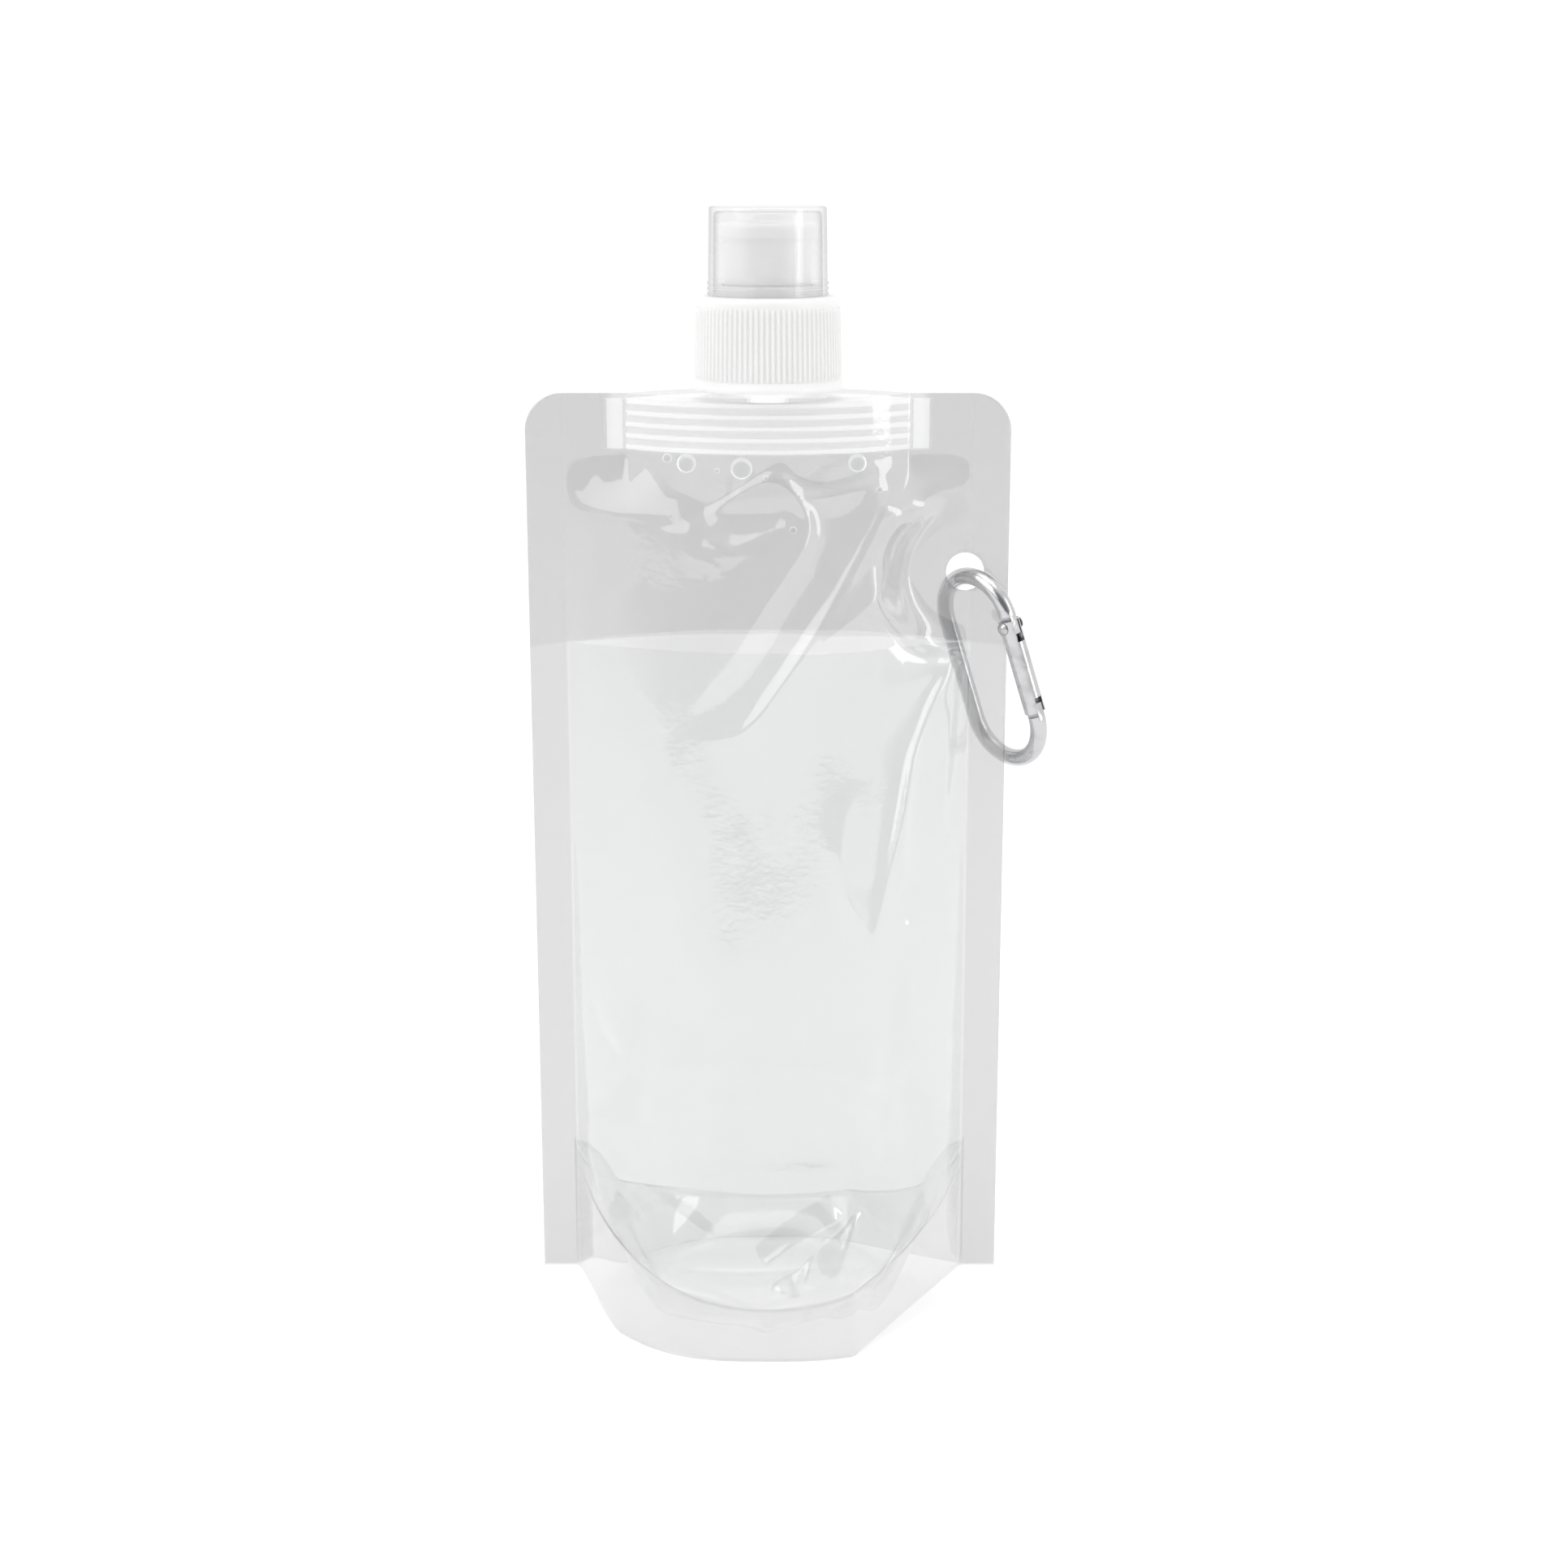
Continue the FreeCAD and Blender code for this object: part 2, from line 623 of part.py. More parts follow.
def make_frame():
    """Round rod bent to an open oval, with a flat tongue at each end for the gate."""
    body = new_body("carabiner_frame")
    path = new_sketch(body, "rod_path", "XZ_Plane")
    radius = number(bend)
    high = -radius
    low = -number(lower_bend)
    top_arc = Part.Arc(Vector(radius, high, 0), Vector(0, 0, 0), Vector(-radius, high, 0))
    spine = Part.LineSegment(Vector(-radius, high, 0), Vector(-radius, low, 0))
    foot_arc = Part.Arc(Vector(-radius, low, 0), Vector(0, low - radius, 0), Vector(radius, low, 0))
    pieces = [path.addGeometry(item, False) for item in (top_arc, spine, foot_arc)]
    path.addConstraint(Sketcher.Constraint("Tangent", pieces[0], 2, pieces[1], 1))
    path.addConstraint(Sketcher.Constraint("Tangent", pieces[1], 2, pieces[2], 1))
    path.addConstraint(Sketcher.Constraint("Horizontal", pieces[0], 1, pieces[0], 3))
    path.addConstraint(Sketcher.Constraint("Horizontal", pieces[2], 2, pieces[2], 3))
    for arc, formula in ((pieces[0], bend), (pieces[2], bend)):
        path.addConstraint(Sketcher.Constraint("PointOnObject", arc, 3, -2))
        index = path.addConstraint(Sketcher.Constraint("Radius", arc, radius))
        path.setExpression(f"Constraints[{index}]", bound(formula))
    for arc, formula in ((pieces[0], f"-{bend}"), (pieces[2], f"-{lower_bend}")):
        index = path.addConstraint(Sketcher.Constraint("DistanceY", -1, 1, arc, 3, number(formula)))
        path.setExpression(f"Constraints[{index}]", bound(formula))
    doc.recompute()
    section = circle(body, "rod_section", "XY_Plane", bend, "0", "rod_radius", f"-{bend}")
    rod = body.newObject("PartDesign::AdditivePipe", "rod")
    rod.Profile = section
    rod.Spine = (path, [])
    doc.recompute()
    pivot = f"{bend} + pivot_drop"
    tongue = [(f"{bend} - tongue_half", f"-{bend} + 1"), (f"{bend} + tongue_half", f"-{bend} + 1"),
              (f"{bend} + tongue_half", f"-({pivot}) - tongue_half"),
              (f"{bend} - tongue_half", f"-({pivot}) - tongue_half")]
    padded(body, "tongue", outline(body, "tongue_outline", "XZ_Plane", tongue), "tongue_thickness", True)
    nose = [(f"{bend} - tongue_half", f"-{lower_bend} - 1"), (f"{bend} + tongue_half", f"-{lower_bend} - 1"),
            (f"{bend} + tongue_half", f"-{lower_bend} + nose_length"),
            (f"{bend} - tongue_half", f"-{lower_bend} + nose_length")]
    padded(body, "nose", outline(body, "nose_outline", "XZ_Plane", nose), "tongue_thickness", True)
    hole = circle(body, "rivet_hole_outline", "XZ_Plane", bend, f"-({pivot})", "rivet_radius")
    cut_through(body, "rivet_hole", hole)
    body.Placement = hook_placement()
    return body


def hidden_cylinder(name, radius, height, base, along_y=False):
    item = doc.addObject("Part::Cylinder", name)
    bind(item, "Radius", radius)
    bind(item, "Height", height)
    for axis, formula in zip("xyz", base):
        if formula != "0":
            bind(item, f"Placement.Base.{axis}", formula)
    if along_y:
        item.Placement.Rotation = FreeCAD.Rotation(Vector(1, 0, 0), -90)
    return item


def slot_box(name, low, height):
    item = doc.addObject("Part::Box", name)
    bind(item, "Length", "gate_radius * 3")
    bind(item, "Width", "slot_width")
    bind(item, "Height", height)
    bind(item, "Placement.Base.x", f"{bend} - gate_radius * 1.5")
    bind(item, "Placement.Base.y", "-slot_width / 2")
    bind(item, "Placement.Base.z", low)
    return item


gate_top = f"(-{bend} - gate_gap)"
gate_low = f"(-{lower_bend} + gate_gap)"
bore_top = f"({gate_top} - upper_slot)"
plunger_top = f"(-{bend} - pivot_drop - tongue_half - 0.1)"


def make_gate():
    """Round gate with a slot at each end for the frame's tongues, and a blind bore for the spring."""
    rod = hidden_cylinder("gate_rod", "gate_radius", f"{gate_top} - {gate_low}", (bend, "0", gate_low))
    pivot = hidden_cylinder("gate_pivot_hole", "rivet_radius + pivot_clear", "gate_radius * 3",
                            (bend, "-gate_radius * 1.5", f"-{bend} - pivot_drop"), True)
    bore = hidden_cylinder("gate_spring_bore", "gate_bore", "bore_depth + 1",
                           (bend, "0", f"{bore_top} - bore_depth"))
    upper = slot_box("gate_upper_slot", bore_top, "upper_slot + 1")
    lower = slot_box("gate_lower_slot", f"{gate_low} - 1", "lower_slot + 1")
    tools = doc.addObject("Part::MultiFuse", "gate_cuts")
    tools.Shapes = [pivot, bore, upper, lower]
    gate = doc.addObject("Part::Cut", "carabiner_gate")
    gate.Base = rod
    gate.Tool = tools
    gate.Label = "carabiner_gate"
    doc.recompute()
    gate.Placement = hook_placement()
    return gate


def make_rivet():
    """Hinge rivet with a domed head on each side of the gate."""
    body = new_body("gate_hinge_rivet")
    grip = "gate_radius + pivot_clear"
    side = [("0", "rivet_dome + GRIP"), ("rivet_head * 0.55", "rivet_dome * 0.85 + GRIP"),
            ("rivet_head * 0.9", "rivet_dome * 0.45 + GRIP"), ("rivet_head", "GRIP"),
            ("rivet_radius", "GRIP")]
    upper = [(across, up.replace("GRIP", grip)) for across, up in side]
    lower = [(across, f"-({up})") for across, up in reversed(upper)]
    turned(body, "rivet", outline(body, "rivet_profile", "XY_Plane", upper + lower))
    drop = Vector(number(bend), 0, -number(f"{bend} + pivot_drop"))
    body.Placement = hook_placement().multiply(FreeCAD.Placement(drop, FreeCAD.Rotation()))
    return body


def make_plunger():
    """Pin under the frame's tongue that the gate spring pushes up; its stem guides the spring."""
    body = new_body("gate_plunger")
    head_low = f"{plunger_top} - plunger_head"
    low = f"{plunger_top} - plunger_length"
    pin = [("0", low), ("plunger_stem", low), ("plunger_stem", head_low), ("plunger_radius", head_low),
           ("plunger_radius", f"{plunger_top} - small_chamfer"),
           ("plunger_radius - small_chamfer", plunger_top),
           ("0", plunger_top)]
    turned(body, "pin", outline(body, "pin_profile", "XZ_Plane", pin))
    across = FreeCAD.Placement(Vector(number(bend), 0, 0), FreeCAD.Rotation())
    body.Placement = hook_placement().multiply(across)
    return body


def make_spring():
    """Compression spring between the plunger's head and the floor of the gate's bore."""
    low = number(f"{bore_top} - bore_depth") + size("spring_wire") + 0.05
    high = number(f"{plunger_top} - plunger_head") - size("spring_wire") - 0.05
    coil = doc.addObject("Part::Helix", "spring_path")
    bind(coil, "Pitch", "spring_pitch")
    coil.Height = high - low
    bind(coil, "Radius", "spring_radius")
    wire = doc.addObject("Part::Circle", "spring_section")
    bind(wire, "Radius", "spring_wire")
    wire.Placement = FreeCAD.Placement(Vector(size("spring_radius"), 0, 0),
                                       FreeCAD.Rotation(Vector(1, 0, 0), 90))
    doc.recompute()
    spring = doc.addObject("Part::Sweep", "gate_spring")
    spring.Sections = [wire]
    spring.Spine = (coil, ["Edge1"])
    spring.Solid = True
    spring.Frenet = True
    spring.Label = "gate_spring"
    doc.recompute()
    place = FreeCAD.Placement(Vector(number(bend), 0, low), FreeCAD.Rotation())
    spring.Placement = hook_placement().multiply(place)
    return spring


make_films()
make_gusset()
make_spout()
make_gasket()
make_collar()
make_nozzle()
make_dust_cap()
make_frame()
make_gate()
make_rivet()
make_plunger()
make_spring()
doc.recompute()

nodes = [
    "front_film", "rear_film", "base_gusset_film", "spout", "neck_gasket", "screw_collar",
    "push_pull_nozzle", "dust_cap", "carabiner_frame", "carabiner_gate", "gate_hinge_rivet",
    "gate_plunger", "gate_spring",
]
for item in doc.Objects:
    if "Invalid" in item.State or "Error" in item.State:
        raise ValueError(f"{item.Label} did not build: {item.State}")
os.makedirs("parts", exist_ok=True)
for node in nodes:
    shape = doc.getObjectsByLabel(node)[0].Shape
    if shape.isNull() or not shape.isValid():
        raise ValueError(f"{node} has no valid shape")
    shape.exportStep(f"parts/{node}.step")
    box = shape.BoundBox
    print(f"{node}: {len(shape.Solids)} solid(s), {shape.Volume:.1f} mm3, "
          f"x {box.XMin:.1f}..{box.XMax:.1f} y {box.YMin:.1f}..{box.YMax:.1f} z {box.ZMin:.1f}..{box.ZMax:.1f}")
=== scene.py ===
import json
import math
import bmesh
import bpy
import numpy as np
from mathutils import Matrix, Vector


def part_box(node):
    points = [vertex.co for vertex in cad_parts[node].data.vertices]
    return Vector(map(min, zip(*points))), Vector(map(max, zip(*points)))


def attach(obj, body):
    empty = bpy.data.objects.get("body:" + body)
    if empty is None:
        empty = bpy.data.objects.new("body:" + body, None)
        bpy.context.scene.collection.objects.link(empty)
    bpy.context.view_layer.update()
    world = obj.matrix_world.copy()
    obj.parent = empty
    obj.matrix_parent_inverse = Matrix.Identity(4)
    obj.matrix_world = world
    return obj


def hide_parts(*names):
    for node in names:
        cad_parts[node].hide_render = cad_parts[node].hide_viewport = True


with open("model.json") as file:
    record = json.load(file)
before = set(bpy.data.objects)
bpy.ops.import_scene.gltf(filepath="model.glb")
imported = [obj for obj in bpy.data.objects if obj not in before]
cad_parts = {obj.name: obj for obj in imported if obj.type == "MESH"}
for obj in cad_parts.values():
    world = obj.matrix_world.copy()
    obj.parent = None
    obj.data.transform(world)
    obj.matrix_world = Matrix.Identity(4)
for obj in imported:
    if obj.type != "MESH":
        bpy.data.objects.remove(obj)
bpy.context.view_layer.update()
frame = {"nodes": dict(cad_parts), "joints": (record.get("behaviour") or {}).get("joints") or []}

# Folding water bottle: clear stand-up pouch with water in it, spout, screw collar, mouthpiece,
# dust cap and carabiner. Shapes are worked out in millimetres and go into the meshes in metres.

mm = 0.001
mergeWithin = 0.004      # points nearer than this, in mm, are one
joints = {joint["name"]: joint for joint in frame["joints"]}
scene = bpy.context.scene


def nodeBox(node):
    low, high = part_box(node)
    return np.array(low) / mm, np.array(high) / mm


# --- camera, first: it looks a little down on the standing bottle ---
cameraPlan = {"aim": (3.7, 0.0, 133.3), "distance": 624.0, "pitch": 14.0, "lens": 59.63}


def setCamera(plan):
    data = bpy.data.cameras.new("camera")
    camera = bpy.data.objects.new("camera", data)
    scene.collection.objects.link(camera)
    data.sensor_width = 36.0
    data.lens = plan["lens"]
    data.clip_start = 0.01
    pitch = math.radians(plan["pitch"])
    aimX, aimY, aimZ = plan["aim"]
    camera.location = (aimX * mm, (aimY - plan["distance"] * math.cos(pitch)) * mm,
                       (aimZ + plan["distance"] * math.sin(pitch)) * mm)
    camera.rotation_euler = (math.radians(90) - pitch, 0, 0)
    scene.camera = camera


setCamera(cameraPlan)
print("camera set")


# --- mesh tools ---
def gridFaces(rows, columns, wrap=False):
    # quads between neighbouring points of a rows x columns grid; wrap joins the last column to
    # the first
    steps = columns if wrap else columns - 1
    i, j = np.meshgrid(np.arange(rows - 1), np.arange(steps), indexing="ij")
    k = (j + 1) % columns
    low, high = i * columns, (i + 1) * columns
    return np.stack([low + j, low + k, high + k, high + j], -1).reshape(-1, 4)


def joinGrids(*parts):
    # several (points, faces) sets as one
    points, faces, start = [], [], 0
    for somePoints, someFaces in parts:
        points.append(somePoints.reshape(-1, 3))
        faces.append(someFaces + start)
        start += len(points[-1])
    return np.concatenate(points), np.concatenate(faces)


def addPiece(name, points, faces, body, slot, material, stands=(), outward=True, sharp=None):
    # points in mm, those that no face uses left out; doubles are merged, and a closed shape has
    # its faces turned outwards
    used, place = np.unique(faces, return_inverse=True)
    mesh = bpy.data.meshes.new(name)
    mesh.from_pydata((points.reshape(-1, 3)[used] * mm).tolist(), [],
                     place.reshape(faces.shape).tolist())
    tidy = bmesh.new()
    tidy.from_mesh(mesh)
    bmesh.ops.remove_doubles(tidy, verts=tidy.verts, dist=mergeWithin * mm)
    bmesh.ops.dissolve_degenerate(tidy, edges=tidy.edges, dist=mergeWithin / 2 * mm)
    if outward:
        bmesh.ops.recalc_face_normals(tidy, faces=tidy.faces)
    tidy.to_mesh(mesh)
    tidy.free()
    mesh.polygons.foreach_set("use_smooth", np.ones(len(mesh.polygons), bool))
    if sharp:
        mesh.set_sharp_from_angle(angle=math.radians(sharp))
    mesh.materials.append(material)
    piece = bpy.data.objects.new(name, mesh)
    scene.collection.objects.link(piece)
    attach(piece, body)
    if stands:
        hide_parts(*stands)
    return piece


def ease(low, high, value):
    # 0 up to low, 1 from high, an S-curve between
    share = np.clip((value - low) / (high - low), 0, 1)
    return share * share * (3 - 2 * share)


def smoothPath(points, steps=14):
    # Catmull-Rom curve through the points: each span is a cubic through its ends, with the
    # neighbours' chord as slope
    points = np.array(points, float)
    ends = np.vstack([2 * points[0] - points[1], points, 2 * points[-1] - points[-2]])
    share = np.linspace(0, 1, steps, endpoint=False)[:, None]
    spans = []
    for before, first, last, after in zip(ends, ends[1:], ends[2:], ends[3:]):
        spans.append(0.5 * (2 * first + (last - before) * share
                            + (2 * before - 5 * first + 4 * last - after) * share ** 2
                            + (3 * first - before - 3 * last + after) * share ** 3))
    return np.vstack(spans + [points[-1:]])


def foldLift(across, up, fold):
    # height of one fold at the points: it falls off as exp(-distance / width) on each side of a
    # curved crest, rounded over "crest", and fades towards the ends
    path = smoothPath(fold["path"])
    start, run = path[:-1], np.diff(path, axis=0)
    spot = np.stack([across, up], -1)[..., None, :] - start
    share = np.clip((spot * run).sum(-1) / (run ** 2).sum(-1), 0, 1)
    gap = spot - share[..., None] * run
    reach = np.hypot(gap[..., 0], gap[..., 1])
    nearest = reach.argmin(-1)[..., None]
    reach = np.take_along_axis(reach, nearest, -1)[..., 0]
    turn = run[:, 0] * spot[..., 1] - run[:, 1] * spot[..., 0]
    side = np.take_along_axis(turn, nearest, -1)[..., 0]
    along = (nearest[..., 0] + np.take_along_axis(share, nearest, -1)[..., 0]) / len(run)
    width = np.where(side > 0, fold["left"], fold["right"])
    crest = fold.get("crest", 0.8)
    lift = np.exp(-(np.sqrt(reach ** 2 + crest ** 2) - crest) / width)
    fadeIn, fadeOut = fold.get("fade", (0.25, 0.25))
    lift *= ease(0, max(fadeIn, 0.001), along) * ease(0, max(fadeOut, 0.001), 1 - along)
    return fold["height"] * lift


def starLift(across, up, star):
    # pleats that run out of one point: cos(pleats * angle), strongest a little way out
    offX, offZ = across - star["at"][0], up - star["at"][1]
    reach = np.hypot(offX, offZ)
    angle = np.arctan2(offZ, offX)
    ripple = np.cos(star["pleats"] * angle + star.get("turn", 0.0)
                    + 0.8 * np.sin(3 * angle)) * reach / (reach + 2.0)
    return star["height"] * ripple * np.exp(-(reach / star["reach"]) ** 1.5)


# --- material tools ---
class Val:
    # a shader socket that takes arithmetic

    def __init__(self, made, socket):
        self.made, self.socket = made, socket

    def math(self, kind, first, second):
        return self.made.node("ShaderNodeMath", {"operation": kind}, [first, second])

    def __add__(self, other):
        return self.math("ADD", self, other)

    def __radd__(self, other):
        return self.math("ADD", other, self)

    def __sub__(self, other):
        return self.math("SUBTRACT", self, other)

    def __rsub__(self, other):
        return self.math("SUBTRACT", other, self)

    def __mul__(self, other):
        return self.math("MULTIPLY", self, other)

    def __rmul__(self, other):
        return self.math("MULTIPLY", other, self)

    def __pow__(self, other):
        return self.math("POWER", self, other)

    def __abs__(self):
        return self.math("ABSOLUTE", self, None)


class Finish:
    # a node material (or the world) and the one way its nodes are made

    def __init__(self, name, holder=None):
        self.material = holder or bpy.data.materials.new(name)
        self.material.use_nodes = True
        self.tree = self.material.node_tree
        self.tree.nodes.clear()

    def node(self, kind, settings=None, values=(), out=0):
        # one node: its settings first, then the values or links of its sockets, by place or name
        made = self.tree.nodes.new(kind)
        for key, value in (settings or {}).items():
            setattr(made, key, value)
        pairs = values.items() if isinstance(values, dict) else enumerate(values)
        for key, value in pairs:
            if isinstance(value, Val):
                self.tree.links.new(value.socket, made.inputs[key])
            elif value is not None:
                made.inputs[key].default_value = value
        return Val(self, made.outputs[out]) if len(made.outputs) else None

    def where(self, scale=(1, 1, 1)):
        # Object coordinates, stretched by scale
        spot = self.node("ShaderNodeTexCoord", out="Object")
        return self.node("ShaderNodeMapping", values={"Vector": spot, "Scale": scale})

    def parts(self, vector):
        # a vector's x, y and z
        first = self.node("ShaderNodeSeparateXYZ", values=[vector])
        return [Val(self, out) for out in first.socket.node.outputs]

    def noise(self, size, detail=2.0, stretch=(1, 1, 1)):
        # noise from 0 to 1 whose lumps are about `size` metres
        return self.node("ShaderNodeTexNoise", {"noise_dimensions": "3D"},
                         {"Vector": self.where(stretch), "Scale": 1 / size, "Detail": detail,
                          "Roughness": 0.5}, out=0)

    def between(self, low, high, value):
        # 0 up to low, 1 from high, an S-curve between
        return self.node("ShaderNodeMapRange", {"interpolation_type": "SMOOTHSTEP"},
                         {"Value": value, "From Min": low, "From Max": high})

    def mixColour(self, factor, first, second):
        return self.node("ShaderNodeMix", {"data_type": "RGBA"},
                         {"Factor": factor, 6: first, 7: second}, out=2)

    def bump(self, height, strength, distance):
        return self.node("ShaderNodeBump", values={"Height": height, "Strength": strength,
                                                   "Distance": distance})

    def mirror(self, ratio, normal=None):
        # share mirrored at this angle by a film of this index, the same from both sides
        out = self.node("ShaderNodeFresnel", values={"IOR": ratio, "Normal": normal})
        back = self.node("ShaderNodeFresnel", values={"IOR": 1 / ratio, "Normal": normal})
        side = self.node("ShaderNodeNewGeometry", out="Backfacing")
        return out * (1 - side) + back * side

    def clear(self, colour):
        return self.node("ShaderNodeBsdfTransparent", values={"Color": colour + (1,)})

    def gloss(self, rough, normal=None):
        return self.node("ShaderNodeBsdfGlossy",
                         values={"Color": (1, 1, 1, 1), "Roughness": rough, "Normal": normal})

    def milk(self, colour, normal=None):
        return self.node("ShaderNodeBsdfDiffuse", values={"Color": colour + (1,), "Normal": normal})

    def glow(self, strength):
        return self.node("ShaderNodeEmission", values={"Color": (1, 1, 1, 1), "Strength": strength})

    def facing(self):
        # 0 where the surface faces the view, 1 where it turns away
        return self.node("ShaderNodeLayerWeight", values={"Blend": 0.5}, out="Facing")

    def mix(self, share, first, second):
        return self.node("ShaderNodeMixShader", values=[share, first, second])

    def finish(self, shader):
        self.node("ShaderNodeOutputMaterial", values={"Surface": shader})
        return self.material


filmLook = {
    "ratio": 1.6, "rough": 0.06,             # index and roughness of the mirrored light
    "dryPass": 0.878, "wetPass": 0.927,      # light let through above and below the water
    "haze": 0.03, "seamHaze": 0.03,          # milkiness, and how much the welds add to it
    "pebble": 0.3,                           # strength of the fine ripples
    "waterLevel": 0.1682, "climb": 0.0048, "climbBend": 2.2,   # wet edge on the front film
    "seam": 0.048, "boatLow": 0.2132, "boatHalf": (0.0355, 0.038),
}
baseLook = {**filmLook, "ratio": 1.75, "dryPass": 0.965, "wetPass": 0.985, "haze": 0.012,
            "seamHaze": 0.0, "pebble": 0.24}
# the last two values set the water top's painted sheen, a white emission glow at grazing angles
waterLook = {"ratio": 1.33, "tint": (0.975, 0.977, 0.978), "side": 0.05, "top": 1.0,
             "sheen": 1.2, "paintedGlow": 1.1}
# the rim values and the glow strength set the drops' painted highlight, a glowing white ring at
# their edges
dropLook = {"ratio": 1.33, "tint": (0.96, 0.965, 0.97), "rim": (0.1, 0.24), "paintedRimShare": 0.7,
            "paintedGlow": 1.15}
capLook = {"ratio": 1.5, "pass": 0.966, "edgePass": 0.7, "rough": 0.05, "haze": 0.012,
           "cloud": 0.025}
# glow is painted light: emission that lightens the plastic though it is no lamp
plasticLooks = {
    "white_plastic": {"colour": (0.86, 0.86, 0.855), "rough": 0.34, "glow": 0.0},
    "mouth_plastic": {"colour": (0.9, 0.9, 0.895), "rough": 0.3, "glow": 0.04},
    "milky_plastic": {"colour": (0.93, 0.93, 0.93), "rough": 0.42, "glow": 0.13},
    "gasket_foam": {"colour": (0.8, 0.8, 0.78), "rough": 0.7, "glow": 0.0},
}
metalLooks = {
    "polished_aluminium": {"colour": (0.6, 0.6, 0.61), "rough": 0.12, "drawn": 1.0},
    "bright_steel": {"colour": (0.52, 0.52, 0.515), "rough": 0.22, "drawn": 0.3},
}


def grey(level):
    return (level, level, level)


def filmFinish(name, look):
    # clear laminated film: it lets most light through, less where no water wets it, mirrors by
    # angle, and has a faint haze that is stronger in the welds, with fine ripples
    made = Finish(name)
    x, y, z = made.parts(made.node("ShaderNodeTexCoord", out="Object"))
    ripple = made.noise(0.02, 2.0, (1, 1, 0.4))
    pebble = made.noise(0.0016, 2.0)
    normal = made.bump(ripple * 0.5 + pebble * 0.02, look["pebble"], 0.003)
    mirror = made.mirror(look["ratio"], normal)
    across = abs(x)
    edge = made.between(look["seam"] - 0.0006, look["seam"] + 0.0002, across)
    climb = look["climb"] - look["climbBend"] * across * across
    line = look["waterLevel"] + climb * (1 - made.between(-0.001, 0.001, y))
    dryAir = made.between(-0.0003, 0.0003, z - line)
    onBoat = (made.between(look["boatLow"], look["boatLow"] + 0.0008, z)
              * (1 - made.between(*look["boatHalf"], across)))
    wetness = (1 - dryAir) * (1 - edge * 0.6) + onBoat
    through = made.mix(wetness, made.clear(grey(look["dryPass"])),
                       made.clear(grey(look["wetPass"])))
    cloud = made.between(0.35, 0.75, made.noise(0.035, 4.0, (1, 1, 0.5)))
    haze = look["haze"] * (0.6 + cloud * 0.8) + edge * look["seamHaze"]
    hazy = made.mix(haze, through, made.milk(grey(0.9), normal))
    return made.finish(made.mix(mirror, hazy, made.gloss(look["rough"], normal)))


def waterFinish(look):
    # nearly clear sides against the film; the level top mirrors by angle and has a painted sheen:
    # a white emission glow at grazing angles that stands in for reflected room light
    made = Finish("water")
    up = made.parts(made.node("ShaderNodeNewGeometry", out="Normal"))[2]
    level = made.between(0.7, 0.95, up)
    # painted sheen: share of white glow, only on the level top and strongest at grazing angles
    paintedGlow = level * made.facing() ** 2 * look["sheen"]
    soft = made.mix(paintedGlow, made.clear(look["tint"]), made.glow(look["paintedGlow"]))
    share = made.mirror(look["ratio"]) * (look["side"] + level * (look["top"] - look["side"]))
    return made.finish(made.mix(share, soft, made.gloss(0.02)))


def dropFinish(look):
    # a drop of water: clear in the middle, with a painted highlight, a glowing bright rim where its
    # dome turns away
    made = Finish("drops")
    # painted highlight: a glowing ring where the dome turns away
    rim = made.between(*look["rim"], made.facing()) * look["paintedRimShare"]
    soft = made.mix(rim, made.clear(look["tint"]), made.glow(look["paintedGlow"]))
    return made.finish(made.mix(made.mirror(look["ratio"]), soft, made.gloss(0.02)))


def plasticFinish(name):
    # moulded plastic: a faintly uneven gloss, fine orange-peel and tiny scuffs; the mouthpiece and
    # milky kinds get a little painted glow, emission that lightens them though they are no lamps
    look = plasticLooks[name]
    made = Finish(name)
    cloud = made.noise(0.009, 3.0)
    fine = made.noise(0.0006, 2.0)
    scuff = made.between(0.62, 0.8, made.noise(0.0022, 4.0, (1, 1, 0.25)))
    darker = tuple(part * 0.95 for part in look["colour"])
    base = made.mixColour(cloud, look["colour"] + (1,), darker + (1,))
    return made.finish(made.node("ShaderNodeBsdfPrincipled", values={
        "Base Color": base, "IOR": 1.48,
        "Roughness": look["rough"] * (0.85 + cloud * 0.3) + scuff * 0.08,
        "Normal": made.bump(cloud * 0.5 + fine * 0.2, 0.25, 0.0004),
        # painted glow: emission that lightens the plastic though it is no lamp
        "Emission Color": (1, 1, 1, 1), "Emission Strength": look["glow"],
        "Subsurface Weight": 0.25, "Subsurface Scale": 0.002,
        "Subsurface Radius": (1.0, 1.0, 1.0)}))


def metalFinish(name):
    # bright metal with fine drawn lines along the rod and small dents
    look = metalLooks[name]
    made = Finish(name)
    lines = made.noise(0.00035, 3.0, (1, 1, 0.08))
    dents = made.noise(0.0025, 3.0)
    worn = made.between(0.45, 0.7, made.noise(0.004, 5.0))
    duller = tuple(part * 0.86 for part in look["colour"])
    return made.finish(made.node("ShaderNodeBsdfPrincipled", values={
        "Base Color": made.mixColour(worn, look["colour"] + (1,), duller + (1,)),
        "Metallic": 1.0, "Roughness": look["rough"] + worn * 0.1 + lines * 0.06,
        "Normal": made.bump(lines * 0.25 * look["drawn"] + dents * 0.5, 0.3, 0.0003)}))


